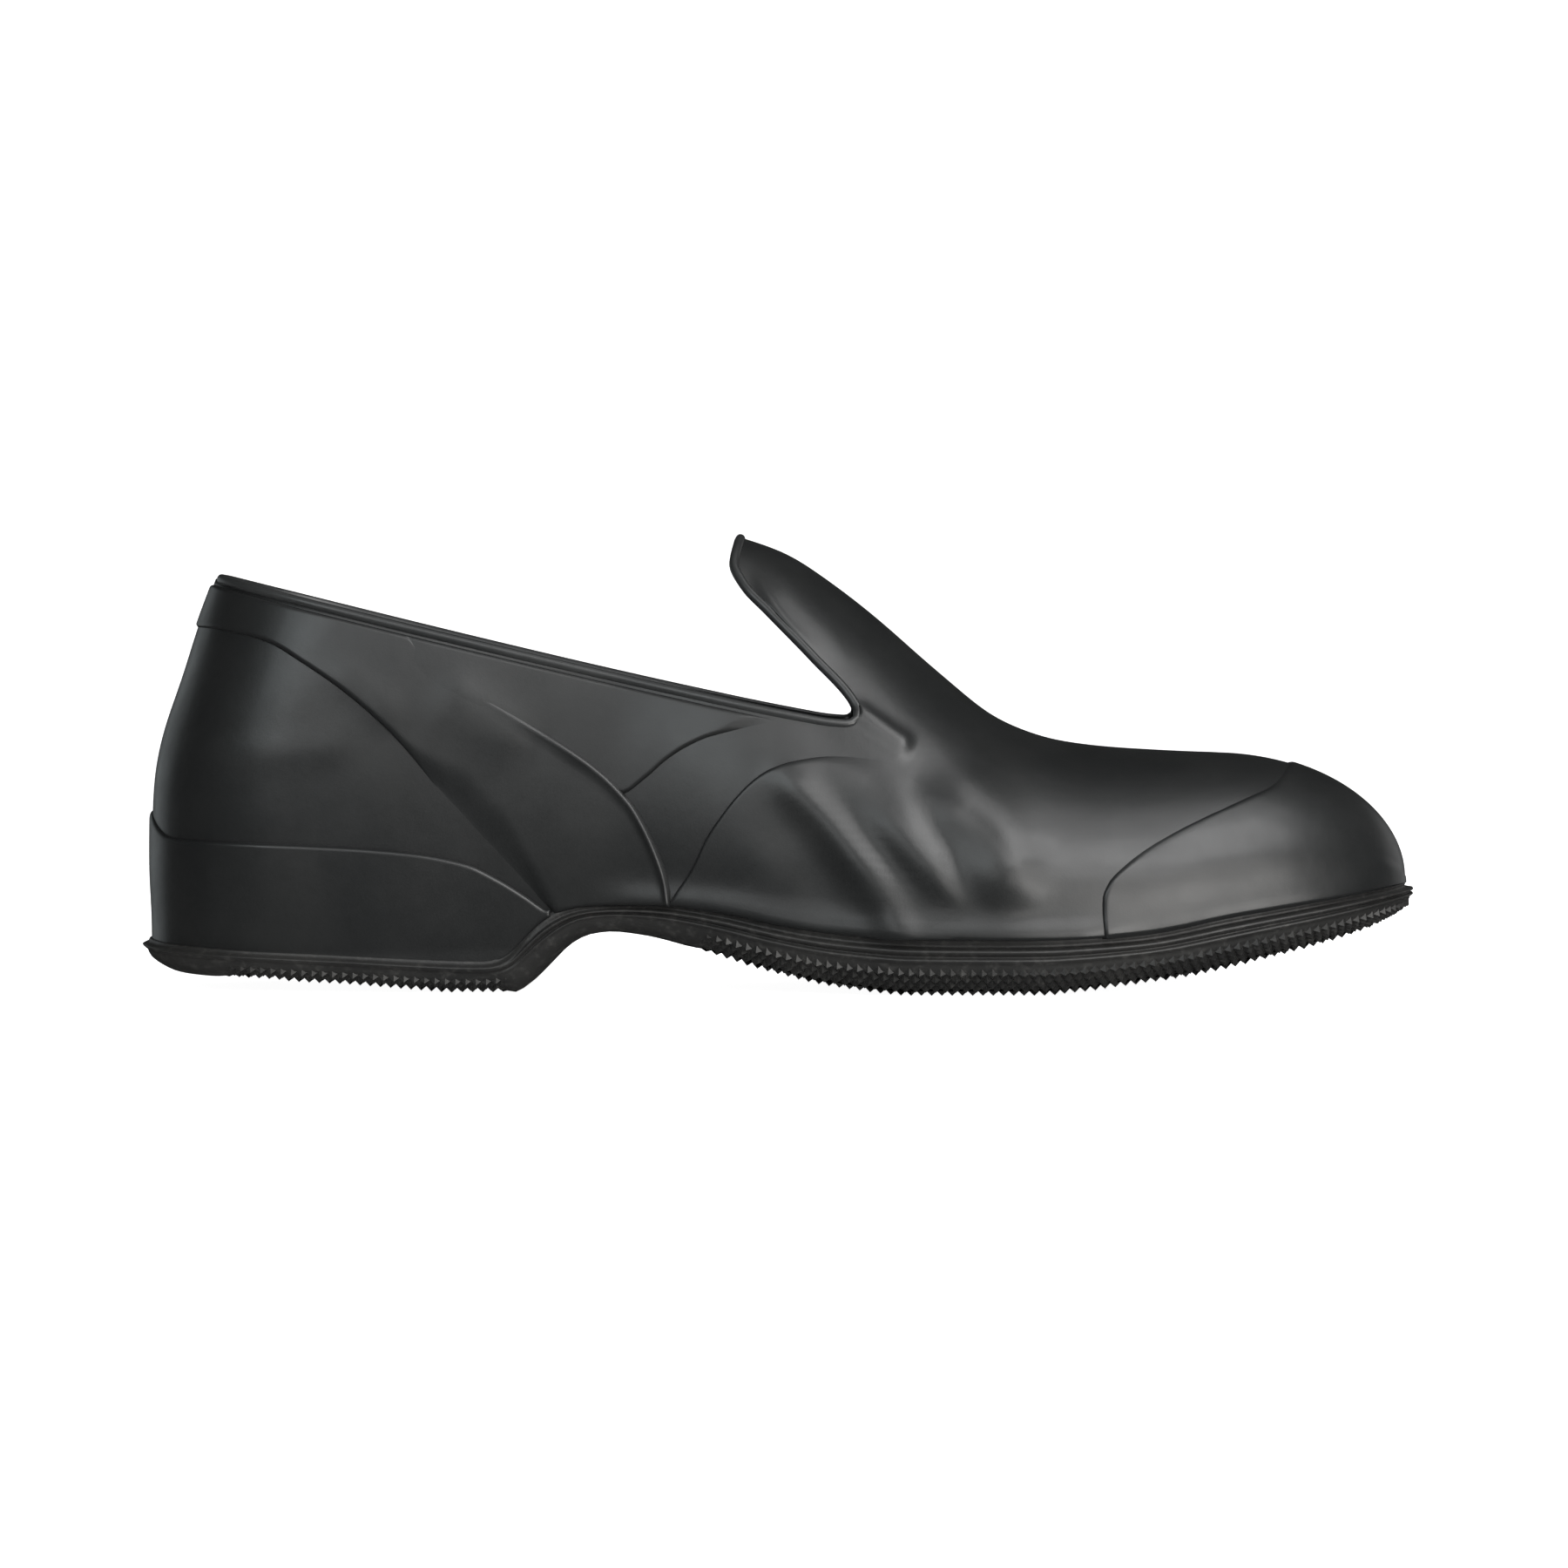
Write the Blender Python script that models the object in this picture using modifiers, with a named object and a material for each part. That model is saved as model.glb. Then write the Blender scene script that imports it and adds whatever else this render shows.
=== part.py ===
"""Rubber overshoe for a right foot, pulled into the shape of the dress shoe that it covers.

Lengths in this file are millimetres and are made metres when a mesh is placed. X runs from the heel
to the toe, Y from the outer side of the foot to the inner side, and Z is up from the floor. Along the
foot, "along" is the distance from the back of the heel. Every surface comes from one last: its half
width is known for each place along the foot and each height, so the wall, its overlays, the bead and
the sole all follow the same form.
"""

import math

import bmesh
import bpy
import numpy as np

MM = 0.001
LENGTH = 309.0
CENTRE_ALONG = 155.97
CENTRE_ACROSS = 0.33
OUTER_SIDE = -1
INNER_SIDE = 1

WALL = 1.8
CLEARANCE = 0.3
CAP_GAP = 0.45
BEAD_RADIUS = 1.4
OVERLAY = 0.6
RAND = 0.9
FLOOR_THICKNESS = 4.2
SOLE_RIM = 3.2

HEEL_ROUNDING = 37.0
HEEL_SQUARENESS = 2.2
TOE_ROUNDING = 60.0
TOE_SQUARENESS = 2.25
TOE_START = 262.0
TOE_HEIGHT = 25.8
TOE_RISE = 31.3
FAIRING = 2.5

# Cross sections of the last. outer and inner are half widths from the middle line, middle is how far
# that line is set towards the inner side, base is where the section starts, crown is its top, and
# fullness, peak and belly shape its arch.
SECTION_COLUMNS = ("along", "outer", "inner", "middle", "base", "crown", "fullness", "peak", "belly")
SECTIONS = (
    (0, 36.0, 36.0, 0.0, 10, 132.0, 3.0, 2.0, 0.06),
    (30, 36.5, 36.0, 0.0, 10, 131.0, 3.0, 2.0, 0.06),
    (60, 37.0, 35.5, 0.0, 10, 129.0, 3.0, 2.0, 0.05),
    (90, 36.5, 33.0, 0.5, 11, 125.0, 2.8, 2.0, 0.05),
    (115, 37.5, 30.0, 1.3, 13, 119.0, 2.6, 1.9, 0.06),
    (130, 41.0, 29.5, 2.0, 14, 114.5, 2.4, 1.8, 0.06),
    (145, 45.5, 31.5, 2.5, 14, 110.2, 2.3, 1.7, 0.05),
    (157, 48.5, 34.5, 3.0, 14, 106.0, 2.2, 1.65, 0.04),
    (167, 50.5, 37.5, 3.3, 14, 99.6, 2.2, 1.62, 0.03),
    (178, 52.5, 40.5, 3.6, 14, 91.2, 2.2, 1.62, 0.03),
    (195, 54.5, 44.0, 4.0, 14, 76.4, 2.2, 1.65, 0.03),
    (210, 54.8, 46.0, 4.3, 14, 64.9, 2.3, 1.75, 0.03),
    (225, 53.0, 46.4, 4.8, 14, 59.9, 2.4, 1.85, 0.03),
    (242, 49.5, 44.8, 5.4, 15, 58.1, 2.4, 1.95, 0.03),
    (268, 42.5, 40.5, 6.2, 19, 57.1, 2.4, 2.0, 0.03),
    (310, 35.0, 35.0, 7.0, 26, 57.1, 2.2, 2.0, 0.0),
)

# The back of the heel from the side: how far along the last it lies at each height.
HEEL_BACK = (
    (0, 2.4),
    (16, 2.3),
    (30, 1.7),
    (42, 1.8),
    (51, 2.3),
    (61, 4.2),
    (76, 9.2),
    (89, 13.3),
    (101, 17.8),
    (125, 26.0),
)

# The line where the upper meets the sole: round the heel above its tread, up the heel breast, along the
# waist and round the forefoot.
FEATHER = (
    (0, 12.0),
    (7, 10.9),
    (45, 9.0),
    (88, 7.2),
    (91.5, 9.6),
    (95.5, 15.4),
    (101, 19.6),
    (108, 21.4),
    (126, 22.0),
    (144, 20.0),
    (152, 18.2),
    (168, 15.7),
    (189, 14.3),
    (215, 14.1),
    (240, 15.0),
    (263, 19.0),
    (290, 23.0),
    (310, 25.8),
)

# The underside of the tread along the middle of the sole. Heel and forefoot are flat on the floor.
TREAD = (
    (0, 5.2),
    (5, 4.5),
    (10, 3.9),
    (20, 3.5),
    (28, 3.4),
    (41, 2.5),
    (50, 2.1),
    (60, 1.3),
    (70, 0.5),
    (77, 0.0),
    (91.5, 0.0),
    (95.5, 2.3),
    (100.5, 7.0),
    (104, 10.6),
    (107, 12.8),
    (110.5, 14.1),
    (115, 14.6),
    (122, 13.9),
    (135, 10.8),
    (150, 6.2),
    (167, 2.2),
    (178, 0.7),
    (186, 0.0),
    (218, 0.0),
    (227, 0.7),
    (240, 2.3),
    (253, 3.9),
    (263, 5.7),
    (272, 7.7),
    (285, 10.6),
    (298, 14.0),
    (305, 16.2),
    (313, 18.2),
)

# The free edge of the opening on the outer side: from the back of the heel down to the notch and back
# up along the instep cover to the middle of the foot.
OPENING_COLUMNS = ("along", "height")
OPENING = (
    (18.6, 101.0),
    (29.5, 98.1),
    (84.0, 84.6),
    (130.0, 74.0),
    (160.6, 67.6),
    (168.5, 66.3),
    (171.9, 66.1),
    (173.3, 67.2),
    (172.5, 69.2),
    (162.9, 80.0),
    (152.2, 91.0),
    (145.9, 97.7),
    (143.2, 103.5),
    (144.6, 110.4),
)

# Past the notch the collar goes on as a fold in the rubber towards the toe.
FOLD = ((176, 66.0), (182, 63.0), (190, 59.5), (212, 50.0), (240, 42.5), (264, 40.5))

# The sole's side from the middle of the tread up to its top ledge. share is the height in the band
# between the tread and the feather line, and the others are distances out from the upper's face.
PROFILE_COLUMNS = ("share", "heel", "forefoot")
PROFILE = (
    (0.00, -9.0, -10.0),
    (0.04, -5.0, -5.0),
    (0.15, -2.0, -1.2),
    (0.32, 0.0, 1.3),
    (0.47, 0.9, 2.5),
    (0.50, 1.1, 2.5),
    (0.50, 1.1, 1.7),
    (0.70, 1.5, 1.7),
    (0.70, 1.5, 0.9),
    (1.00, 1.9, 0.9),
)
HEEL_SEAT_END = 86.0
WAIST_START = 104.0

# The edges of the overlays as they lie on the side of the foot.
RAND_TOP = ((0, 43.5), (2.6, 40.0), (6, 36.9), (28, 36.3), (50, 35.4), (67, 34.0), (80, 31.4), (88, 27.6), (94.5, 23.6), (99, 20.4))
STRAP_LOW = ((0, 88.0), (17, 87.4), (28, 86.0), (33, 84.2), (50, 71.8), (65, 57.5), (84, 39.0), (95, 27.6), (103, 21.8), (130, 10))
STRAP_HIGH = ((40, 97.0), (60, 84.2), (92, 66.0), (110, 54.8), (118, 48.4), (125.5, 35.8), (129.8, 23.5))
STRAP_END = 127.6
RAND_END = 98.4
CAP_BACK = ((0, 234.5), (0.28, 234.6), (0.43, 238.8), (0.57, 250.6), (0.68, 263.0), (0.9, 277.0), (1.0, 280.5))

RUBBER_COLOUR = (0.018, 0.019, 0.02, 1.0)
RUBBER_ROUGHNESS = 0.46
TREAD_ROUGHNESS = 0.62


def eased(points, x):
    """A smooth curve through the points that never swings past them, read at x."""
    px, py = (np.array(column, float) for column in zip(*points))
    x = np.clip(np.asarray(x, float), px[0], px[-1])
    step = np.diff(px)
    slope = np.diff(py) / step
    tangent = np.concatenate([slope[:1], np.zeros(len(px) - 2), slope[-1:]])
    same_way = slope[:-1] * slope[1:] > 0
    both = slope[:-1] + slope[1:]
    tangent[1:-1][same_way] = 2 * slope[:-1][same_way] * slope[1:][same_way] / both[same_way]
    i = np.clip(np.searchsorted(px, x, side="right") - 1, 0, len(step) - 1)
    t = (x - px[i]) / step[i]
    start = (1 + 2 * t) * (1 - t) ** 2 * py[i] + t**2 * (3 - 2 * t) * py[i + 1]
    return start + t * (1 - t) * step[i] * ((1 - t) * tangent[i] - t * tangent[i + 1])


def faired(points, x):
    """The same curve averaged over a short stretch, so that its bends are soft."""
    x = np.asarray(x, float)
    weights = (0.1, 0.2, 0.4, 0.2, 0.1)
    return sum(w * eased(points, x + (k - 2) * FAIRING) for k, w in enumerate(weights))


def section(name, along):
    """One column of the section table, read between its rows."""
    column = SECTION_COLUMNS.index(name)
    return faired([(row[0], row[column]) for row in SECTIONS], along)


def heel_back(height):
    return faired(HEEL_BACK, height)


def crown(along):
    """The top of the last: the section table, and from TOE_START on a quarter ellipse over the toe."""
    past = np.clip((np.asarray(along, float) - TOE_START) / (LENGTH - TOE_START), 0, 1)
    toe = TOE_HEIGHT + TOE_RISE * np.sqrt(1 - past**2)
    return np.where(past > 0, toe, section("crown", along))


def rounded(depth, squareness):
    """0 at an end of the foot and 1 where its rounding stops."""
    return (1 - (1 - np.clip(depth, 0, 1)) ** squareness) ** (1 / squareness)


def across(along, height, side):
    """Where the last's surface lies across the foot, at a place along it and a height."""
    along, height = np.asarray(along, float), np.asarray(height, float)
    base = section("base", along)
    rise = np.clip((height - base) / np.maximum(crown(along) - base, 1e-6), 0, 1)
    arch = (1 - rise ** section("fullness", along)) ** (1 / section("peak", along))
    arch = arch * (1 + section("belly", along) * 6.75 * rise * (1 - rise) ** 2)
    back = rounded((along - heel_back(height)) / HEEL_ROUNDING, HEEL_SQUARENESS)
    front = rounded((LENGTH - along) / TOE_ROUNDING, TOE_SQUARENESS)
    half = section("outer" if side < 0 else "inner", along) * arch * back * front
    return section("middle", along) + side * half


def feather(along):
    return faired(FEATHER, along)


def rand_top(along):
    return faired(RAND_TOP, along)


def opening_edge(inset):
    """The opening's edge moved into the rubber by inset, from the heel to the top of the cover."""
    corners = np.array(OPENING, float)
    walked = np.concatenate([[0], np.cumsum(np.hypot(*np.diff(corners, axis=0).T))])
    where = np.linspace(0, walked[-1], 400)
    edge = np.stack([eased(list(zip(walked, corners[:, k])), where) for k in (0, 1)], axis=1)
    way = np.gradient(edge, where, axis=0)
    way /= np.linalg.norm(way, axis=1)[:, None]
    return edge + inset * np.stack([way[:, 1], -way[:, 0]], axis=1)


def wall_edge():
    """The wall's edge beside the bead, in two runs: the collar to the notch, and the cover."""
    edge = opening_edge(2 * BEAD_RADIUS + CLEARANCE)
    tip = int(np.argmax(edge[:, 0]))
    return edge[: tip + 1], edge[tip:]


def collar_line(along):
    """The top edge of the wall under the bead, and past the notch the fold that goes on from it."""
    along = np.asarray(along, float)
    collar, _ = wall_edge()
    tip_along, tip_height = collar[-1]
    wall_top = np.interp(along, collar[:, 0], collar[:, 1])
    fold = faired(FOLD, along) + tip_height - float(faired(FOLD, tip_along))
    base = feather(along)
    toe = base + 0.45 * (crown(along) - base)
    ahead = np.clip((along - 225) / 40, 0, 1)
    return np.where(along < tip_along, wall_top, fold * (1 - ahead) + toe * ahead)


def height_on(line, reach):
    """The height of a line at a distance from the heel's back, which itself leans with height."""
    height = line(reach)
    for _ in range(12):
        height = line(reach + heel_back(height))
    return height


def reaches():
    """The columns' distances from the heel's back: close at heel and toe, where the outline turns."""
    tip_along, tip_height = wall_edge()[0][-1]
    notch = tip_along - float(heel_back(tip_height))
    heel = HEEL_ROUNDING * (1 - np.cos(np.linspace(0, math.pi / 2, 10)))
    seat = np.linspace(HEEL_ROUNDING, 86, 7)[1:]
    breast = np.linspace(86, 104, 7)[1:]
    waist = np.linspace(104, notch - 7, 8)[1:]
    corner = notch - np.array([3.4, 1.2, 0])
    vamp = np.linspace(notch, LENGTH - TOE_ROUNDING, 11)[1:]
    end = LENGTH - float(heel_back(TOE_HEIGHT))
    toe = vamp[-1] + (end - vamp[-1]) * np.sin(np.linspace(0, math.pi / 2, 10))[1:]
    back = np.concatenate([heel, seat, breast, waist, corner])
    return np.concatenate([back, vamp, toe]), len(back) - 1


def cover_shares():
    """The rows' shares of the height from the notch, or the fold beyond it, up to the ridge."""
    even = np.sin(np.linspace(0, math.pi / 2, 8))[1:]
    return np.concatenate([[0.03, 0.1], even])


def new_mesh_object(name, bm, material, collection):
    """Puts a finished bmesh into the scene as one named part."""
    for vertex in bm.verts:
        vertex.co.x -= CENTRE_ALONG * MM
        vertex.co.y -= CENTRE_ACROSS * MM
    mesh = bpy.data.meshes.new(name)
    bm.to_mesh(mesh)
    bm.free()
    mesh.materials.append(material)
    mesh.shade_smooth()
    part = bpy.data.objects.new(name, mesh)
    collection.objects.link(part)
    return part


def mapped_grid(points):
    """A grid with its vertices at points, an array by column and row of places in millimetres."""
    columns, rows = points.shape[0] - 1, points.shape[1] - 1
    bm = bmesh.new()
    bmesh.ops.create_grid(bm, x_segments=columns, y_segments=rows, size=0.5)
    index = {}
    for vertex in bm.verts:
        spot = round((vertex.co.x + 0.5) * columns), round((vertex.co.y + 0.5) * rows)
        index[vertex] = spot
        vertex.co = points[spot] * MM
    return bm, index


def closed_up(outer, inner):
    """Joins the outer side's columns, run backwards from the front, to the inner side's."""
    return np.concatenate([outer[::-1], inner[1:]])


def on_last(along, height, rows_first=True):
    """Both sides' points of the last for columns of places and heights, the outer side first."""
    sides = [np.stack([along, across(along, height, side), height], axis=-1) for side in (-1, 1)]
    return closed_up(*sides)


def face_outwards(bm):
    """Turns the skin so that its faces point away from the middle of the foot."""
    bm.faces.ensure_lookup_table()
    bm.normal_update()
    centre = np.mean([face.calc_center_median() for face in bm.faces], axis=0)
    outward = 0.0
    for face in bm.faces:
        outward += face.calc_area() * float(np.dot(face.normal, np.array(face.calc_center_median()) - centre))
    if outward < 0:
        bmesh.ops.reverse_faces(bm, faces=bm.faces)


def thickened(part, thickness):
    """Gives a skin its thickness, towards the inside of the foot."""
    solid = part.modifiers.new("wall", "SOLIDIFY")
    solid.thickness = thickness * MM
    solid.offset = -1
    solid.use_rim = True
    return part


def offset_skin(bm, distance):
    """Moves a skin out along its own normals by a distance in millimetres."""
    bm.normal_update()
    moved = {vertex: vertex.co + vertex.normal * distance * MM for vertex in bm.verts}
    for vertex, place in moved.items():
        vertex.co = place


def make_upper(material, collection):
    """The wall from the sole's edge to the collar, with the cover that rises over the instep."""
    reach, notch = reaches()
    last, lower_rows = len(reach) - 1, 8
    cover, settled = wall_edge()[1], 226.0
    edge_top = cover[-1, 0]
    low, middle = height_on(feather, reach), height_on(collar_line, reach)
    lean = np.clip((reach - reach[notch]) / (settled - reach[notch]), 0, 1)
    ridge = np.where(lean < 1, edge_top + (settled + 1.3 - edge_top) * lean, reach + 1.3)
    ridge = np.minimum(ridge, LENGTH)
    step = np.linspace(0, 1, lower_rows + 1)
    heights = low[:, None] + (middle - low)[:, None] * step
    alongs = reach[:, None] + heel_back(heights)
    share = cover_shares()
    above = middle[:, None] + (crown(ridge) - middle)[:, None] * share
    start = alongs[:, -1]
    beyond = start[:, None] + (ridge - start)[:, None] * share
    bow = np.interp(above[notch], cover[:, 1], cover[:, 0]) - beyond[notch]
    beyond = beyond + ((1 - lean) ** 3)[:, None] * bow
    heights, alongs = np.concatenate([heights, above], axis=1), np.concatenate([alongs, beyond], axis=1)
    alongs[-1], heights[-1] = LENGTH, TOE_HEIGHT
    points = on_last(alongs, heights)
    points[:, -1, 1] = section("middle", points[:, -1, 0])
    points[0, :, 1] = points[-1, :, 1] = section("middle", LENGTH)
    points[last, :, 1] = 0
    bm, index = mapped_grid(points)
    opening = []
    for face in bm.faces:
        spots = [index[vertex] for vertex in face.verts]
        behind = max(abs(column - last) for column, _ in spots) <= notch
        if behind and min(row for _, row in spots) >= lower_rows:
            opening.append(face)
    bmesh.ops.delete(bm, geom=opening, context="FACES")
    bmesh.ops.remove_doubles(bm, verts=bm.verts, dist=1e-6)
    face_outwards(bm)
    return thickened(new_mesh_object("upper", bm, material, collection), WALL)


def outline():
    """The upper's outline at the feather line as a closed ring, with its outward direction in plan."""
    reach, _ = reaches()
    height = height_on(feather, reach)
    along = reach + heel_back(height)
    along[-1], height[-1] = LENGTH, TOE_HEIGHT
    ring = on_last(along, height)[:-1]
    ring[0, 1] = section("middle", LENGTH)
    turn = np.roll(ring, -1, axis=0)[:, :2] - np.roll(ring, 1, axis=0)[:, :2]
    out = np.stack([-turn[:, 1], turn[:, 0]], axis=1)
    if out[0, 0] < 0:
        out = -out
    return ring, out / np.linalg.norm(out, axis=1)[:, None]


def floor_height(along):
    """The height of the floor inside the shoe."""
    return np.minimum(eased(TREAD, along) + FLOOR_THICKNESS, feather(along) - CLEARANCE - 1.0)


def make_outsole(material, collection):
    """The sole as one tray: tread, heel breast, ribbed side, top ledge and the floor inside."""
    ring, out = outline()
    count = len(ring)
    fore = np.clip((ring[:, 0] - HEEL_SEAT_END) / (WAIST_START - HEEL_SEAT_END), 0, 1)
    top = ring[:, 2] - CLEARANCE
    rows = []

    def at(distance):
        return ring[:, :2] + out * np.asarray(distance)[..., None]

    def middle_of(plan):
        return (plan + plan[(-np.arange(count)) % count]) / 2

    for share, heel, forefoot in PROFILE:
        plan = at(heel * (1 - fore) + forefoot * fore)
        bottom = eased(TREAD, plan[:, 0])
        rows.append(np.column_stack([plan, bottom + (top - bottom) * share]))
    keel = middle_of(rows[0][:, :2])
    rows.insert(0, np.column_stack([keel, eased(TREAD, keel[:, 0])]))
    inside = at(np.full(count, -SOLE_RIM))
    rows.append(np.column_stack([inside, top]))
    rows.append(np.column_stack([inside, (top + floor_height(inside[:, 0])) / 2]))
    rows.append(np.column_stack([inside, floor_height(inside[:, 0])]))
    keel = middle_of(inside)
    rows.append(np.column_stack([keel, floor_height(keel[:, 0])]))
    points = np.stack(rows, axis=1)
    points = np.concatenate([points, points[:1]])
    bm, _ = mapped_grid(points)
    bmesh.ops.remove_doubles(bm, verts=bm.verts, dist=1e-6)
    bmesh.ops.dissolve_degenerate(bm, dist=1e-6, edges=bm.edges)
    bmesh.ops.recalc_face_normals(bm, faces=bm.faces)
    return new_mesh_object("outsole", bm, material, collection)


def overlay(name, points, thickness, material, collection, gap=CLEARANCE):
    """A skin laid on the upper's face, its inside a gap away from the wall."""
    bm, _ = mapped_grid(points)
    bmesh.ops.remove_doubles(bm, verts=bm.verts, dist=1e-6)
    face_outwards(bm)
    offset_skin(bm, gap + thickness)
    return thickened(new_mesh_object(name, bm, material, collection), thickness)


def band(reach, low, high, rows):
    """Points of the last between two lines, for columns at distances from the heel's back."""
    heights = low[:, None] + (high - low)[:, None] * np.linspace(0, 1, rows + 1)
    return on_last(reach[:, None] + heel_back(heights), heights)


def make_rand(material, collection):
    """The thick band round the heel, from the tread's lip up to its rounded top edge."""
    reach, _ = reaches()
    reach = np.append(reach[reach < RAND_END - 2], (RAND_END - 1, RAND_END))
    low = height_on(feather, reach)
    high = np.maximum(height_on(rand_top, reach), low + 1.0)
    return overlay("heel_rand", band(reach, low, high, 4), RAND, material, collection)


def make_strap(material, collection):
    """The overlay that runs round the heel under the collar and sweeps down to the waist each side."""
    reach, _ = reaches()
    tail = STRAP_END - np.array([10.5, 7, 4, 1.8, 0.6, 0])
    reach = np.concatenate([reach[reach < tail[0] - 2], tail])
    rand = np.where(reach < 98, height_on(rand_top, reach) + 1.2, 0)
    low = height_on(lambda along: faired(STRAP_LOW, along), reach)
    low = np.maximum(np.maximum(low, rand), height_on(feather, reach) + 0.8)
    high = height_on(lambda along: eased(STRAP_HIGH, along), reach)
    high = np.maximum(np.minimum(high, height_on(collar_line, reach) - 0.4), low + 1.0)
    return overlay("quarter_strap", band(reach, low, high, 5), OVERLAY, material, collection)


def make_toe_cap(material, collection):
    """The overlay over the toe, its back edge sweeping from the sole up and forward to the ridge."""
    up = np.sin(np.linspace(0, math.pi / 2, 9))
    start = eased(CAP_BACK, up)
    ahead = np.sin(np.linspace(0, math.pi / 2, 15))
    along = start + (LENGTH - start) * ahead[:, None]
    low = feather(along) + 0.6
    height = low + (crown(along) - low) * up
    outer = np.stack([along, across(along, height, OUTER_SIDE), height], axis=-1)
    inner = np.stack([along, across(along, height, INNER_SIDE), height], axis=-1)
    points = np.concatenate([outer, inner[:, -2::-1]], axis=1)
    points[:, 8, 1] = section("middle", points[:, 8, 0])
    points[-1] = (LENGTH, section("middle", LENGTH), TOE_HEIGHT + 0.6)
    return overlay("toe_cap", points, OVERLAY, material, collection, CAP_GAP)


def inward(along, height, side, depth):
    """A point of the last moved in by depth, square to the surface."""
    step = 0.2
    y = across(along, height, side)
    over_along = (across(along + step, height, side) - across(along - step, height, side)) / (2 * step)
    over_height = (across(along, height + step, side) - across(along, height - step, side)) / (2 * step)
    normal = np.stack([-side * over_along, side * np.ones_like(y), -side * over_height], axis=-1)
    normal /= np.linalg.norm(normal, axis=-1)[..., None]
    return np.stack([along, y, height], axis=-1) - depth * normal


def make_bead(material, collection):
    """The round bead that edges the opening all the way round, as one closed tube."""
    reach, notch = reaches()
    collar, cover = wall_edge()
    path = opening_edge(BEAD_RADIUS)
    rim = height_on(collar_line, reach[: notch + 1])
    rise = rim[-1] + (cover[-1, 1] - rim[-1]) * cover_shares()
    order = np.arange(len(path))
    spots = np.interp(reach[: notch + 1] + heel_back(rim), collar[:, 0], order[: len(collar)])
    spots = np.concatenate([spots, np.interp(rise, cover[:, 1], order[len(collar) - 1 :])])
    along, height = (np.interp(spots, order, path[:, k]) for k in (0, 1))
    sides = []
    for side in (OUTER_SIDE, INNER_SIDE):
        line = inward(along, height, side, WALL / 2)
        line[-1] = along[-1], section("middle", along[-1]), crown(along[-1]) - WALL / 2
        line[0, 1] = 0
        sides.append(line)
    loop = np.concatenate([sides[0], sides[1][-2:0:-1]])
    curve = bpy.data.curves.new("collar_bead", "CURVE")
    curve.dimensions = "3D"
    curve.bevel_depth = BEAD_RADIUS * MM
    curve.bevel_resolution = 2
    spline = curve.splines.new("POLY")
    spline.points.add(len(loop) - 1)
    for point, place in zip(spline.points, loop):
        along, y, height = place
        point.co = ((along - CENTRE_ALONG) * MM, (y - CENTRE_ACROSS) * MM, height * MM, 1)
    spline.use_cyclic_u = True
    curve.materials.append(material)
    bead = bpy.data.objects.new("collar_bead", curve)
    collection.objects.link(bead)
    return bead


def rubber(name, roughness):
    """Black moulded rubber."""
    material = bpy.data.materials.new(name)
    material.use_nodes = True
    shader = material.node_tree.nodes["Principled BSDF"]
    shader.inputs["Base Color"].default_value = RUBBER_COLOUR
    shader.inputs["Roughness"].default_value = roughness
    shader.inputs["Metallic"].default_value = 0.0
    return material


def main():
    for old in list(bpy.data.objects):
        bpy.data.objects.remove(old)
    overshoe = bpy.data.collections.new("overshoe")
    bpy.context.scene.collection.children.link(overshoe)
    skin = rubber("upper_rubber", RUBBER_ROUGHNESS)
    tread = rubber("sole_rubber", TREAD_ROUGHNESS)
    make_upper(skin, overshoe)
    make_outsole(tread, overshoe)
    make_rand(skin, overshoe)
    make_strap(skin, overshoe)
    make_toe_cap(skin, overshoe)
    make_bead(skin, overshoe)


main()
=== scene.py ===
"""Looks of the rubber overshoe: its pieces in moulded black rubber, on a pale studio floor.

Inside the classes every length is in millimetres: "along" is the distance from the back of the heel,
"height" the distance above the floor, and the outer side of the foot faces the camera. A piece becomes
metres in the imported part's own frame when it is placed.
"""

import logging
import math
from dataclasses import dataclass
from enum import Enum

import bmesh
import bpy
import numpy as np
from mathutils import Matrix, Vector


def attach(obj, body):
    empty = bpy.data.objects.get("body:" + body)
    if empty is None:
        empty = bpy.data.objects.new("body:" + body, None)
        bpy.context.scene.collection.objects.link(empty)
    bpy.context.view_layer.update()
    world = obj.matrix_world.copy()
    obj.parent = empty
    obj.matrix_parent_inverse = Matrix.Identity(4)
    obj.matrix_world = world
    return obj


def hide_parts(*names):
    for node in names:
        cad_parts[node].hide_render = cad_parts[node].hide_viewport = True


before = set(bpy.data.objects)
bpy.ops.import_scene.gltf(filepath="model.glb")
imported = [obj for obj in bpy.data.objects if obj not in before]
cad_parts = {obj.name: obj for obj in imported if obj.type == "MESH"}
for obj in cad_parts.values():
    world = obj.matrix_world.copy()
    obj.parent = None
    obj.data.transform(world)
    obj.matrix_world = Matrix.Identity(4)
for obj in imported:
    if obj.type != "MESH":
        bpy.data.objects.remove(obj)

MM = 0.001
MERGE_DISTANCE = 1e-3
BODY = "root"
Table = tuple[tuple[float, ...], ...]
Colour = tuple[float, float, float]
log = logging.getLogger("overshoe")


class Side(Enum):
    """The sides of a right foot, as signs of the direction across it."""

    OUTER = -1
    INNER = 1


class Slot(Enum):
    """The record's material slots."""

    UPPER = "upper_rubber"
    SOLE = "sole_rubber"


class Fold(Enum):
    """What a crease does to the surface, as the sign of its lift."""

    RIDGE = 1
    TROUGH = -1


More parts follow.
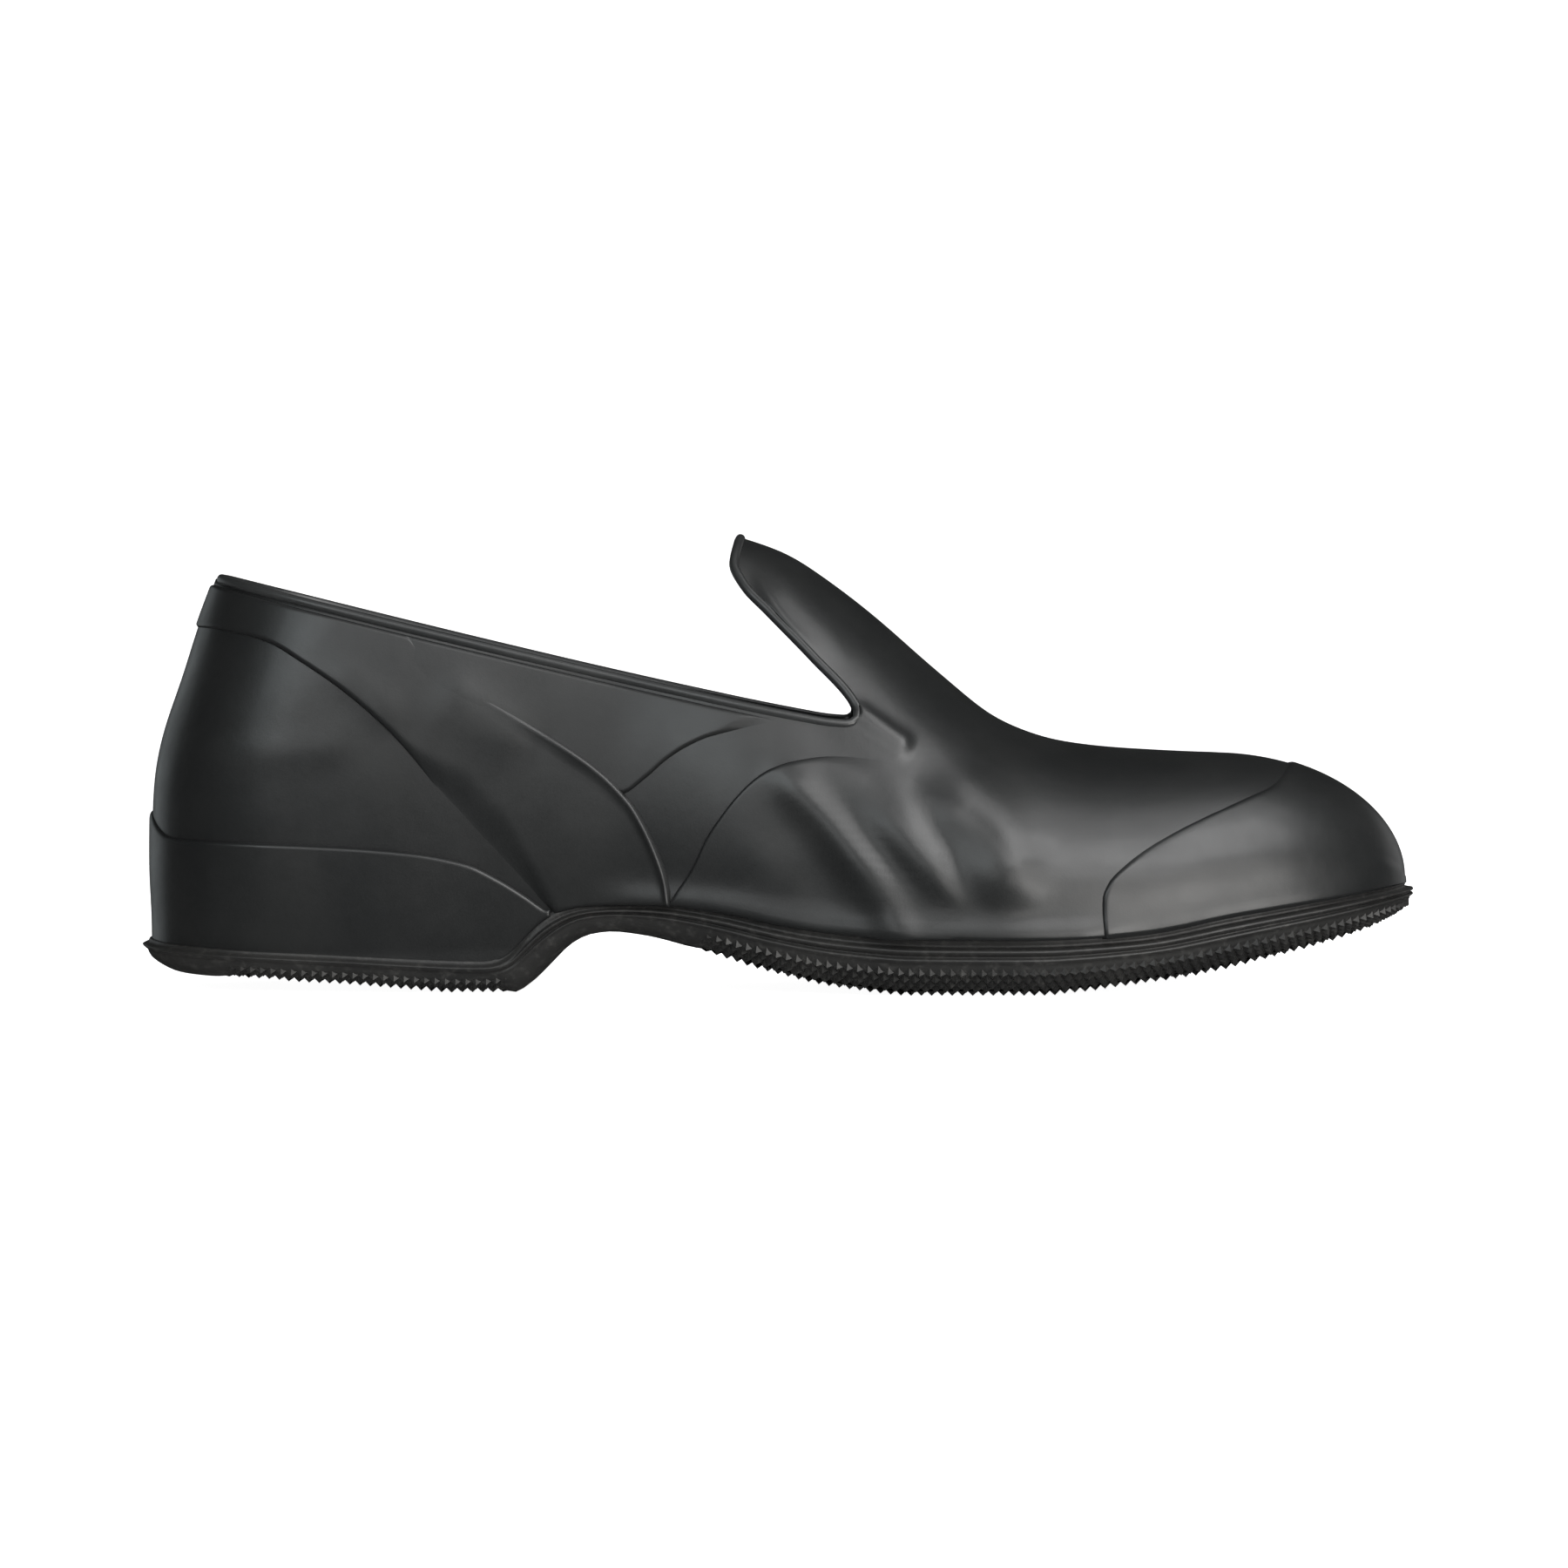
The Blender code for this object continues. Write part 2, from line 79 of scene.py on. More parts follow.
def eased(points: Table, x: np.ndarray | float) -> np.ndarray:
    """Reads a smooth curve through points that never swings past them.

    Args:
        points: Rows of a place and a value, with the places rising.
        x: The places to read.

    Returns:
        The values at x.
    """
    px, py = (np.array(column, float) for column in zip(*points))
    x = np.clip(np.asarray(x, float), px[0], px[-1])
    step = np.diff(px)
    slope = np.diff(py) / step
    tangent = np.concatenate([slope[:1], np.zeros(len(px) - 2), slope[-1:]])
    same_way = slope[:-1] * slope[1:] > 0
    both = slope[:-1] + slope[1:]
    tangent[1:-1][same_way] = 2 * slope[:-1][same_way] * slope[1:][same_way] / both[same_way]
    i = np.clip(np.searchsorted(px, x, side="right") - 1, 0, len(step) - 1)
    t = (x - px[i]) / step[i]
    start = (1 + 2 * t) * (1 - t) ** 2 * py[i] + t**2 * (3 - 2 * t) * py[i + 1]
    return start + t * (1 - t) * step[i] * ((1 - t) * tangent[i] - t * tangent[i + 1])


def faired(points: Table, x: np.ndarray | float, reach: float = 2.5) -> np.ndarray:
    """Reads the same curve averaged over a short stretch, so that its bends are soft.

    Args:
        points: Rows of a place and a value.
        x: The places to read.
        reach: The spacing of the five places that are averaged.

    Returns:
        The values at x.
    """
    x = np.asarray(x, float)
    return sum(w * eased(points, x + (k - 2) * reach) for k, w in enumerate((0.1, 0.2, 0.4, 0.2, 0.1)))


def smooth_ramp(x: np.ndarray | float, start: float, end: float) -> np.ndarray:
    """A soft ramp from 0 at start to 1 at end."""
    t = np.clip((np.asarray(x, float) - start) / (end - start), 0, 1)
    return t * t * (3 - 2 * t)


def walked_path(points: Table, count: int) -> np.ndarray:
    """Lays even points on a smooth line through given ones.

    Args:
        points: The places that the line passes.
        count: How many points to lay.

    Returns:
        An array of the points.
    """
    corners = np.array(points, float)
    walked = np.concatenate([[0], np.cumsum(np.hypot(*np.diff(corners, axis=0).T))])
    where = np.linspace(0, walked[-1], count)
    return np.stack([eased(tuple(zip(walked, corners[:, k])), where) for k in (0, 1)], axis=1)


@dataclass(frozen=True)
class Last:
    """The form of the shod foot that every piece of the overshoe follows."""

    length: float = 309.0
    centre_along: float = 155.97
    centre_across: float = 0.33
    heel_rounding: float = 37.0
    heel_squareness: float = 2.2
    toe_rounding: float = 60.0
    toe_squareness: float = 2.25
    toe_start: float = 262.0
    toe_height: float = 25.8
    toe_rise: float = 31.3
    columns: tuple[str, ...] = (
        "along", "outer", "inner", "middle", "base", "crown", "fullness", "peak", "belly"
    )
    sections: Table = (
        (0, 36.0, 36.0, 0.0, 10, 132.0, 3.0, 2.0, 0.06),
        (30, 36.5, 36.0, 0.0, 10, 131.0, 3.0, 2.0, 0.06),
        (60, 37.0, 35.5, 0.0, 10, 129.0, 3.0, 2.0, 0.05),
        (90, 36.5, 33.0, 0.5, 11, 125.0, 2.8, 2.0, 0.05),
        (115, 37.5, 30.0, 1.3, 13, 119.0, 2.6, 1.9, 0.06),
        (130, 41.0, 29.5, 2.0, 14, 114.5, 2.4, 1.8, 0.06),
        (145, 45.5, 31.5, 2.5, 14, 110.2, 2.3, 1.7, 0.05),
        (157, 48.5, 34.5, 3.0, 14, 106.0, 2.2, 1.65, 0.04),
        (167, 50.5, 37.5, 3.3, 14, 99.6, 2.2, 1.62, 0.03),
        (178, 52.5, 40.5, 3.6, 14, 91.2, 2.2, 1.62, 0.03),
        (195, 54.5, 44.0, 4.0, 14, 76.4, 2.2, 1.65, 0.03),
        (210, 54.8, 46.0, 4.3, 14, 64.9, 2.3, 1.75, 0.03),
        (225, 53.0, 46.4, 4.8, 14, 59.9, 2.4, 1.85, 0.03),
        (242, 49.5, 44.8, 5.4, 15, 58.1, 2.4, 1.95, 0.03),
        (268, 42.5, 40.5, 6.2, 19, 57.1, 2.4, 2.0, 0.03),
        (310, 35.0, 35.0, 7.0, 26, 57.1, 2.2, 2.0, 0.0),
    )
    heel_line: Table = (
        (0, 2.4), (16, 2.3), (30, 1.7), (42, 1.8), (51, 2.3), (61, 4.2), (76, 9.2), (89, 13.3),
        (101, 17.8), (125, 26.0),
    )
    feather_line: Table = (
        (0, 12.0), (7, 10.9), (45, 9.0), (88, 7.2), (91.5, 9.6), (95.5, 15.4), (101, 19.6),
        (108, 21.4), (126, 22.0), (144, 20.0), (152, 18.2), (168, 15.7), (189, 14.3), (215, 14.1),
        (240, 15.0), (263, 19.0), (290, 23.0), (310, 25.8),
    )
    tread_line: Table = (
        (0, 5.2), (5, 4.5), (10, 3.9), (20, 3.5), (28, 3.4), (41, 2.5), (50, 2.1), (60, 1.3),
        (70, 0.5), (77, 0.0), (91.5, 0.0), (95.5, 2.3), (100.5, 7.0), (104, 10.6), (107, 12.8),
        (110.5, 14.1), (115, 14.6), (122, 13.9), (135, 10.8), (150, 6.2), (167, 2.2), (178, 0.7),
        (186, 0.0), (218, 0.0), (227, 0.7), (240, 2.3), (253, 3.9), (263, 5.7), (272, 7.7),
        (285, 10.6), (298, 14.0), (305, 16.2), (313, 18.2),
    )
    opening: Table = (
        (18.6, 101.0), (29.5, 98.1), (84.0, 84.6), (130.0, 74.0), (160.6, 67.6), (168.5, 66.3),
        (171.9, 66.1), (173.3, 67.2), (172.5, 69.2), (162.9, 80.0), (152.2, 91.0), (145.9, 97.7),
        (143.2, 103.5), (144.6, 110.4),
    )
    fold: Table = ((176, 66.0), (182, 63.0), (190, 59.5), (212, 50.0), (240, 42.5), (264, 40.5))
    fold_end: float = 225.0
    fold_fade: float = 40.0
    toe_middle: float = 0.45
    edge_inset: float = 1.3
    edge_steps: int = 400
    belly_scale: float = 6.75
    core_height: float = 38.0
    lean_rounds: int = 12

    def section(self, name: str, along: np.ndarray | float) -> np.ndarray:
        """One column of the cross sections, read between its rows."""
        column = self.columns.index(name)
        return faired(tuple((row[0], row[column]) for row in self.sections), along)

    def heel_back(self, height: np.ndarray | float) -> np.ndarray:
        """How far along the last the back of the heel lies at a height."""
        return faired(self.heel_line, height)

    def feather(self, along: np.ndarray | float) -> np.ndarray:
        """The height of the line where the upper meets the sole."""
        return faired(self.feather_line, along)

    def tread(self, along: np.ndarray | float) -> np.ndarray:
        """The height of the tread's lowest points."""
        return eased(self.tread_line, along)

    def crown(self, along: np.ndarray | float) -> np.ndarray:
        """The height of the ridge along the top, which ends in a quarter ellipse over the toe.

        Args:
            along: Places along the foot.

        Returns:
            The ridge's height at each place.
        """
        past = np.clip((np.asarray(along, float) - self.toe_start) / (self.length - self.toe_start), 0, 1)
        toe = self.toe_height + self.toe_rise * np.sqrt(1 - past**2)
        return np.where(past > 0, toe, self.section("crown", along))

    @staticmethod
    def rounded(depth: np.ndarray, squareness: float) -> np.ndarray:
        """0 at an end of the foot and 1 where its rounding stops."""
        return (1 - (1 - np.clip(depth, 0, 1)) ** squareness) ** (1 / squareness)

    def across(self, along: np.ndarray, height: np.ndarray, side: Side) -> np.ndarray:
        """Where the surface lies across the foot.

        Args:
            along: Places along the foot.
            height: Heights above the floor.
            side: Which side of the foot.

        Returns:
            The distances from the frame's middle line.
        """
        along, height = np.asarray(along, float), np.asarray(height, float)
        base = self.section("base", along)
        rise = np.clip((height - base) / np.maximum(self.crown(along) - base, 1e-6), 0, 1)
        arch = (1 - rise ** self.section("fullness", along)) ** (1 / self.section("peak", along))
        arch = arch * (1 + self.section("belly", along) * self.belly_scale * rise * (1 - rise) ** 2)
        back = self.rounded((along - self.heel_back(height)) / self.heel_rounding, self.heel_squareness)
        front = self.rounded((self.length - along) / self.toe_rounding, self.toe_squareness)
        half = self.section(side.name.lower(), along) * arch * back * front
        return self.section("middle", along) + side.value * half

    def points(self, along: np.ndarray, height: np.ndarray, side: Side) -> np.ndarray:
        """Points of the surface on one side of the foot."""
        return np.stack([along, self.across(along, height, side), height], axis=-1)

    def both_sides(self, along: np.ndarray, height: np.ndarray) -> np.ndarray:
        """Points of the surface by column, from the toe round the heel on the outer side first."""
        outer, inner = (self.points(along, height, side) for side in Side)
        return np.concatenate([outer[::-1], inner[1:]])

    def opening_edge(self, inset: float) -> np.ndarray:
        """The opening's edge moved into the rubber, from the heel to the top of the cover.

        Args:
            inset: How far it is moved.

        Returns:
            Rows of a place along the foot and a height.
        """
        edge = walked_path(self.opening, self.edge_steps)
        way = np.gradient(edge, axis=0)
        way /= np.linalg.norm(way, axis=1)[:, None]
        return edge + inset * np.stack([way[:, 1], -way[:, 0]], axis=1)

    def wall_edge(self) -> tuple[np.ndarray, np.ndarray]:
        """The wall's edge inside the bead.

        Returns:
            The collar's run to the notch, and the cover's run from it, both in rows of place and height.
        """
        edge = self.opening_edge(self.edge_inset)
        tip = int(np.argmax(edge[:, 0]))
        return edge[: tip + 1], edge[tip:]

    def collar(self, along: np.ndarray | float) -> np.ndarray:
        """The wall's top under the bead, and past the notch the fold that goes on towards the toe.

        Args:
            along: Places along the foot.

        Returns:
            The height at each place.
        """
        along = np.asarray(along, float)
        run, _ = self.wall_edge()
        tip_along, tip_height = run[-1]
        wall_top = np.interp(along, run[:, 0], run[:, 1])
        fold = faired(self.fold, along) + tip_height - float(faired(self.fold, tip_along))
        base = self.feather(along)
        toe = base + self.toe_middle * (self.crown(along) - base)
        ahead = np.clip((along - self.fold_end) / self.fold_fade, 0, 1)
        return np.where(along < tip_along, wall_top, fold * (1 - ahead) + toe * ahead)

    def height_on(self, line: "Table | object", reach: np.ndarray) -> np.ndarray:
        """The height of a line at distances from the heel's back, which itself leans with height.

        Args:
            line: A table of places and heights, or a function that reads one.
            reach: The distances from the heel's back.

        Returns:
            The heights.
        """
        read = line if callable(line) else lambda along: faired(line, along)
        height = read(reach)
        for _ in range(self.lean_rounds):
            height = read(reach + self.heel_back(height))
        return height

    def placed(self, points: np.ndarray) -> np.ndarray:
        """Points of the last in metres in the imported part's frame."""
        return (points - (self.centre_along, self.centre_across, 0)) * MM


@dataclass(frozen=True)
class Crease:
    """A soft ridge or trough that follows a line on one side of the foot."""

    fold: Fold
    line: Table
    depth: float
    width: float
    tail: float = 0.4
    steps: int = 28

    def lift(self, along: np.ndarray, height: np.ndarray) -> np.ndarray:
        """How far the crease lifts the surface.

        Args:
            along: The places' distances along the foot.
            height: Their heights.

        Returns:
            The lift of each place, below zero in a trough.
        """
        path = walked_path(self.line, self.steps)
        nearest, where = np.full(along.shape, np.inf), np.zeros(along.shape)
        for k, (start, end) in enumerate(zip(path[:-1], path[1:])):
            way = end - start
            share = ((along - start[0]) * way[0] + (height - start[1]) * way[1]) / (way @ way)
            share = np.clip(share, 0, 1)
            far = np.hypot(along - start[0] - share * way[0], height - start[1] - share * way[1])
            closer = far < nearest
            nearest = np.where(closer, far, nearest)
            where = np.where(closer, (k + share) / (self.steps - 1), where)
        ends = smooth_ramp(where, 0, self.tail) * smooth_ramp(1 - where, 0, self.tail)
        return self.fold.value * self.depth * ends * np.exp(-((nearest / self.width) ** 2))


@dataclass(frozen=True)
class Relief:
    """The creases that wear has pressed into the rubber, for each side of the foot."""

    outer: tuple[Crease, ...]
    inner: tuple[Crease, ...]
    ridge_calm: float = 7.0

    def lift(self, points: np.ndarray, middle: np.ndarray) -> np.ndarray:
        """The lift of the creases at points of the last.

        Args:
            points: Rows of along, across and height.
            middle: Where the foot's middle line lies at each point.

        Returns:
            The lift of each point, which dies out at the ridge along the top.
        """
        away = points[:, 1] - middle
        calm = smooth_ramp(np.abs(away), 0, self.ridge_calm)
        total = np.zeros(len(points))
        for creases, chosen in ((self.outer, away < 0), (self.inner, away >= 0)):
            along, height = points[chosen, 0], points[chosen, 2]
            lift = np.zeros(int(chosen.sum()))
            for crease in creases:
                lift += crease.lift(along, height)
            total[chosen] = lift
        return total * calm


@dataclass(frozen=True)
class Pattern:
    """A noise pattern: the size of its cells in millimetres, its detail and how rough that is."""

    size: float
    detail: float
    roughness: float


@dataclass(frozen=True)
class Rubber:
    """One finish of moulded rubber, with its depths in millimetres."""

    name: str
    dark: Colour
    pale: Colour
    roughness: tuple[float, float]
    specular: float
    grain: Pattern
    grain_depth: float
    wave: Pattern
    wave_depth: float
    dust: float
    sheen: float = 0.0
    sheen_roughness: float = 0.2
    dust_colour: Colour = (0.085, 0.082, 0.076)
    mottle: Pattern = Pattern(30.0, 4.0, 0.55)
    mottle_range: tuple[float, float] = (0.38, 0.72)
    fleck: Pattern = Pattern(2.2, 5.0, 0.65)
    fleck_range: tuple[float, float] = (0.52, 0.80)
    gloss: Pattern = Pattern(12.0, 5.0, 0.6)
    gloss_range: tuple[float, float] = (0.3, 0.7)

    def material(self) -> bpy.types.Material:
        """The finish as a material, made once."""
        return bpy.data.materials.get(self.name) or self.made()

    def made(self) -> bpy.types.Material:
        """Builds the material: mottled colour and gloss, fine grain and soft unevenness.

        Returns:
            The new material.
        """
        material = bpy.data.materials.new(self.name)
        material.use_nodes = True
        tree = material.node_tree
        shader = tree.nodes["Principled BSDF"]
        shader.inputs["Specular IOR Level"].default_value = self.specular
        shader.inputs["Coat Weight"].default_value = self.sheen
        shader.inputs["Coat Roughness"].default_value = self.sheen_roughness
        place = tree.nodes.new("ShaderNodeTexCoord").outputs["Object"]
        mottle = self.spread(tree, self.noise(tree, place, self.mottle), self.mottle_range)
        colour = self.mixed(tree, mottle, self.dark, self.pale)
        fleck = self.noise(tree, place, self.fleck)
        dusty = self.spread(tree, fleck, self.fleck_range, (0.0, self.dust))
        colour = self.mixed(tree, dusty, colour, self.dust_colour)
        tree.links.new(colour, shader.inputs["Base Color"])
        shine = self.noise(tree, place, self.gloss)
        gloss = self.spread(tree, shine, self.gloss_range, self.roughness)
        tree.links.new(gloss, shader.inputs["Roughness"])
        fine = self.bump(tree, self.noise(tree, place, self.grain), self.grain_depth)
        broad = self.bump(tree, self.noise(tree, place, self.wave), self.wave_depth, fine)
        tree.links.new(broad, shader.inputs["Normal"])
        return material

    @staticmethod
    def noise(tree: bpy.types.NodeTree, place: bpy.types.NodeSocket,
              pattern: Pattern) -> bpy.types.NodeSocket:
        """Adds a noise pattern on the piece's own place.

        Args:
            tree: The material's nodes.
            place: The socket that gives the place.
            pattern: The pattern.

        Returns:
            The socket of its value.
        """
        node = tree.nodes.new("ShaderNodeTexNoise")
        node.inputs["Scale"].default_value = 1 / (pattern.size * MM)
        node.inputs["Detail"].default_value = pattern.detail
        node.inputs["Roughness"].default_value = pattern.roughness
        tree.links.new(place, node.inputs["Vector"])
        return node.outputs["Fac"]

    @staticmethod
    def spread(tree: bpy.types.NodeTree, value: bpy.types.NodeSocket, given: tuple[float, float],
               wanted: tuple[float, float] = (0.0, 1.0)) -> bpy.types.NodeSocket:
        """Stretches a value from one range to another and holds it inside.

        Args:
            tree: The material's nodes.
            value: The socket of the value.
            given: The range that is stretched.
            wanted: The range that it becomes.

        Returns:
            The socket of the result.
        """
        node = tree.nodes.new("ShaderNodeMapRange")
        for name, number in zip(("From Min", "From Max", "To Min", "To Max"), (*given, *wanted)):
            node.inputs[name].default_value = number
        tree.links.new(value, node.inputs["Value"])
        return node.outputs["Result"]

    @staticmethod
    def mixed(tree: bpy.types.NodeTree, share: bpy.types.NodeSocket, first: object,
              second: object) -> bpy.types.NodeSocket:
        """Mixes two colours.

        Args:
            tree: The material's nodes.
            share: The socket of the second colour's share.
            first: A colour, as a socket or three numbers.
            second: The other colour.

        Returns:
            The socket of the mixed colour.
        """
        node = tree.nodes.new("ShaderNodeMix")
        node.data_type = "RGBA"
        tree.links.new(share, node.inputs["Factor"])
        colours = [socket for socket in node.inputs if socket.type == "RGBA"]
        for socket, colour in zip(colours, (first, second)):
            if isinstance(colour, tuple):
                socket.default_value = (*colour, 1.0)
            else:
                tree.links.new(colour, socket)
        return next(socket for socket in node.outputs if socket.type == "RGBA")

    @staticmethod
    def bump(tree: bpy.types.NodeTree, height: bpy.types.NodeSocket, depth: float,
             below: bpy.types.NodeSocket | None = None) -> bpy.types.NodeSocket:
        """Adds a bump, laid over another one if that is given.

        Args:
            tree: The material's nodes.
            height: The socket of the bump's height.
            depth: Its depth in millimetres.
            below: The socket of the bump that it lies over.

        Returns:
            The socket of the bumped normal.
        """
        node = tree.nodes.new("ShaderNodeBump")
        node.inputs["Distance"].default_value = depth * MM
        tree.links.new(height, node.inputs["Height"])
        if below is not None:
            tree.links.new(below, node.inputs["Normal"])
        return node.outputs["Normal"]


@dataclass
class Piece:
    """What every piece shares: the last that it follows, its creases and its finish."""

    last: Last
    relief: Relief
    finish: Rubber

    @staticmethod
    def grid(points: np.ndarray) -> tuple[bmesh.types.BMesh, dict]:
        """A grid with its vertices on given points.

        Args:
            points: An array of points by column and row.

        Returns:
            The mesh, and each vertex's column and row.
        """
        columns, rows = points.shape[0] - 1, points.shape[1] - 1
        bm = bmesh.new()
        bmesh.ops.create_grid(bm, x_segments=columns, y_segments=rows, size=0.5)
        spots = {}
        for vertex in bm.verts:
            spot = round((vertex.co.x + 0.5) * columns), round((vertex.co.y + 0.5) * rows)
            spots[vertex] = spot
            vertex.co = points[spot]
        return bm, spots

    @staticmethod
    def places(bm: bmesh.types.BMesh) -> np.ndarray:
        """The mesh's vertices as an array."""
        return np.array([vertex.co[:] for vertex in bm.verts])

    @staticmethod
    def normals(bm: bmesh.types.BMesh) -> np.ndarray:
        """The mesh's vertex normals as an array."""
        bm.normal_update()
        return np.array([vertex.normal[:] for vertex in bm.verts])

    @staticmethod
    def move(bm: bmesh.types.BMesh, places: np.ndarray) -> None:
        """Puts the mesh's vertices on new places."""
        for vertex, place in zip(bm.verts, places):
            vertex.co = place

    def face_outwards(self, bm: bmesh.types.BMesh) -> None:
        """Turns a skin so that its faces point away from the middle of the foot.

        Args:
            bm: The skin, which is turned in place.
        """
        bm.normal_update()
        inside = (self.last.section("middle", self.last.centre_along), self.last.core_height)
        outward = 0.0
        for face in bm.faces:
            centre, normal = face.calc_center_median(), face.normal
            away = normal.y * (centre.y - inside[0]) + normal.z * (centre.z - inside[1])
            outward += face.calc_area() * away
        if outward < 0:
            bmesh.ops.reverse_faces(bm, faces=bm.faces)

    def creased(self, bm: bmesh.types.BMesh, lift: np.ndarray | float) -> None:
        """Moves a skin out along its normals by a lift and by the creases.

        Args:
            bm: The skin, which is moved in place.
            lift: The lift, one for all or one for each vertex.
        """
        points, normals = self.places(bm), self.normals(bm)
        relief = self.relief.lift(points, self.last.section("middle", points[:, 0]))
        self.move(bm, points + (relief + lift)[:, None] * normals)

    def placed(self, name: str, bm: bmesh.types.BMesh, slot: Slot, *nodes: str) -> bpy.types.Object:
        """Puts a finished mesh on the part.

        Args:
            name: The piece's name.
            bm: Its mesh in millimetres, which is freed.
            slot: The record's slot of its finish; not used.
            nodes: The CAD nodes that it stands for.

        Returns:
            The new object, riding on the part's body.
        """
        self.move(bm, self.last.placed(self.places(bm)))
        mesh = bpy.data.meshes.new(name)
        bm.to_mesh(mesh)
        bm.free()
        mesh.materials.append(self.finish.material())
        mesh.shade_smooth()
        piece = bpy.data.objects.new(name, mesh)
        bpy.context.scene.collection.objects.link(piece)
        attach(piece, BODY)
        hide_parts(*nodes)
        return piece

    @staticmethod
    def thickened(piece: bpy.types.Object, thickness: float) -> bpy.types.Object:
        """Gives a skin its thickness, towards the inside of the foot.

        Args:
            piece: The skin's object.
            thickness: The thickness in millimetres.

        Returns:
            The same object.
        """
        solid = piece.modifiers.new("thickness", "SOLIDIFY")
        solid.thickness = thickness * MM
        solid.offset = -1
        solid.use_rim = True
        return piece


@dataclass
class Wall(Piece):
    """The stretched wall of the overshoe, with the cover that rises over the instep."""

    thickness: float = 1.8
    lower_rows: int = 52
    upper_rows: int = 42
    heel_columns: int = 30
    seat_end: float = 104.0
    seat_columns: int = 36
    waist_columns: int = 56
    notch_gap: float = 3.0
    notch_columns: tuple[float, ...] = (2.2, 1.4, 0.7, 0.3, 0)
    creased_end: float = 216.0
    creased_columns: int = 66
    vamp_columns: int = 27
    toe_columns: int = 42
    settled: float = 226.0
    ridge_ahead: float = 1.3
    crowding: float = 1.25

    def reaches(self) -> tuple[np.ndarray, int]:
        """The columns' distances from the heel's back.

        Returns:
            The distances, and which column the notch is on.
        """
        last = self.last
        tip_along, tip_height = last.wall_edge()[0][-1]
        notch = tip_along - float(last.heel_back(tip_height))
        heel = last.heel_rounding * (1 - np.cos(np.linspace(0, math.pi / 2, self.heel_columns)))
        seat = np.linspace(last.heel_rounding, self.seat_end, self.seat_columns)[1:]
        waist = np.linspace(self.seat_end, notch - self.notch_gap, self.waist_columns)[1:]
        corner = notch - np.array(self.notch_columns)
        creased = np.linspace(notch, self.creased_end, self.creased_columns)[1:]
        vamp = np.linspace(self.creased_end, last.length - last.toe_rounding, self.vamp_columns)[1:]
        end = last.length - float(last.heel_back(last.toe_height))
        toe = vamp[-1] + (end - vamp[-1]) * np.sin(np.linspace(0, math.pi / 2, self.toe_columns))[1:]
        back = np.concatenate([heel, seat, waist, corner])
        return np.concatenate([back, creased, vamp, toe]), len(back) - 1

    def surface(self) -> tuple[np.ndarray, int, int]:
        """The wall's points on the last.

        Returns:
            The points by column and row, the middle column and the notch's distance from it.
        """
        last = self.last
        reach, notch = self.reaches()
        cover = last.wall_edge()[1]
        edge_top = cover[-1, 0]
        low, middle = last.height_on(last.feather, reach), last.height_on(last.collar, reach)
        lean = np.clip((reach - reach[notch]) / (self.settled - reach[notch]), 0, 1)
        leaning = edge_top + (self.settled + self.ridge_ahead - edge_top) * lean
        ridge = np.minimum(np.where(lean < 1, leaning, reach + self.ridge_ahead), last.length)
        heights = low[:, None] + (middle - low)[:, None] * np.linspace(0, 1, self.lower_rows + 1)
        alongs = reach[:, None] + last.heel_back(heights)
        share = np.sin(math.pi / 2 * np.linspace(0, 1, self.upper_rows + 1) ** self.crowding)[1:]
        above = middle[:, None] + (last.crown(ridge) - middle)[:, None] * share
        start = alongs[:, -1]
        beyond = start[:, None] + (ridge - start)[:, None] * share
        bow = np.interp(above[notch], cover[:, 1], cover[:, 0]) - beyond[notch]
        beyond = beyond + ((1 - lean) ** 3)[:, None] * bow
        heights, alongs = np.concatenate([heights, above], axis=1), np.concatenate([alongs, beyond], axis=1)
        alongs[-1], heights[-1] = last.length, last.toe_height
        points = last.both_sides(alongs, heights)
        middle_column = len(reach) - 1
        points[:, -1, 1] = last.section("middle", points[:, -1, 0])
        points[0, :, 1] = points[-1, :, 1] = last.section("middle", last.length)
        points[middle_column, :, 1] = 0
        return points, middle_column, notch

    def build(self) -> bpy.types.Object:
        """Builds the wall and leaves the opening free.

        Returns:
            The wall's object.
        """
        points, middle, notch = self.surface()
        bm, spots = self.grid(points)
        opening = []
        for face in bm.faces:
            corners = [spots[vertex] for vertex in face.verts]
            behind = max(abs(column - middle) for column, _ in corners) <= notch
            if behind and min(row for _, row in corners) >= self.lower_rows:
                opening.append(face)
        bmesh.ops.delete(bm, geom=opening, context="FACES")
        bmesh.ops.remove_doubles(bm, verts=bm.verts, dist=MERGE_DISTANCE)
        self.face_outwards(bm)
        self.creased(bm, 0.0)
        return self.thickened(self.placed("stretched_wall", bm, Slot.UPPER, "upper"), self.thickness)


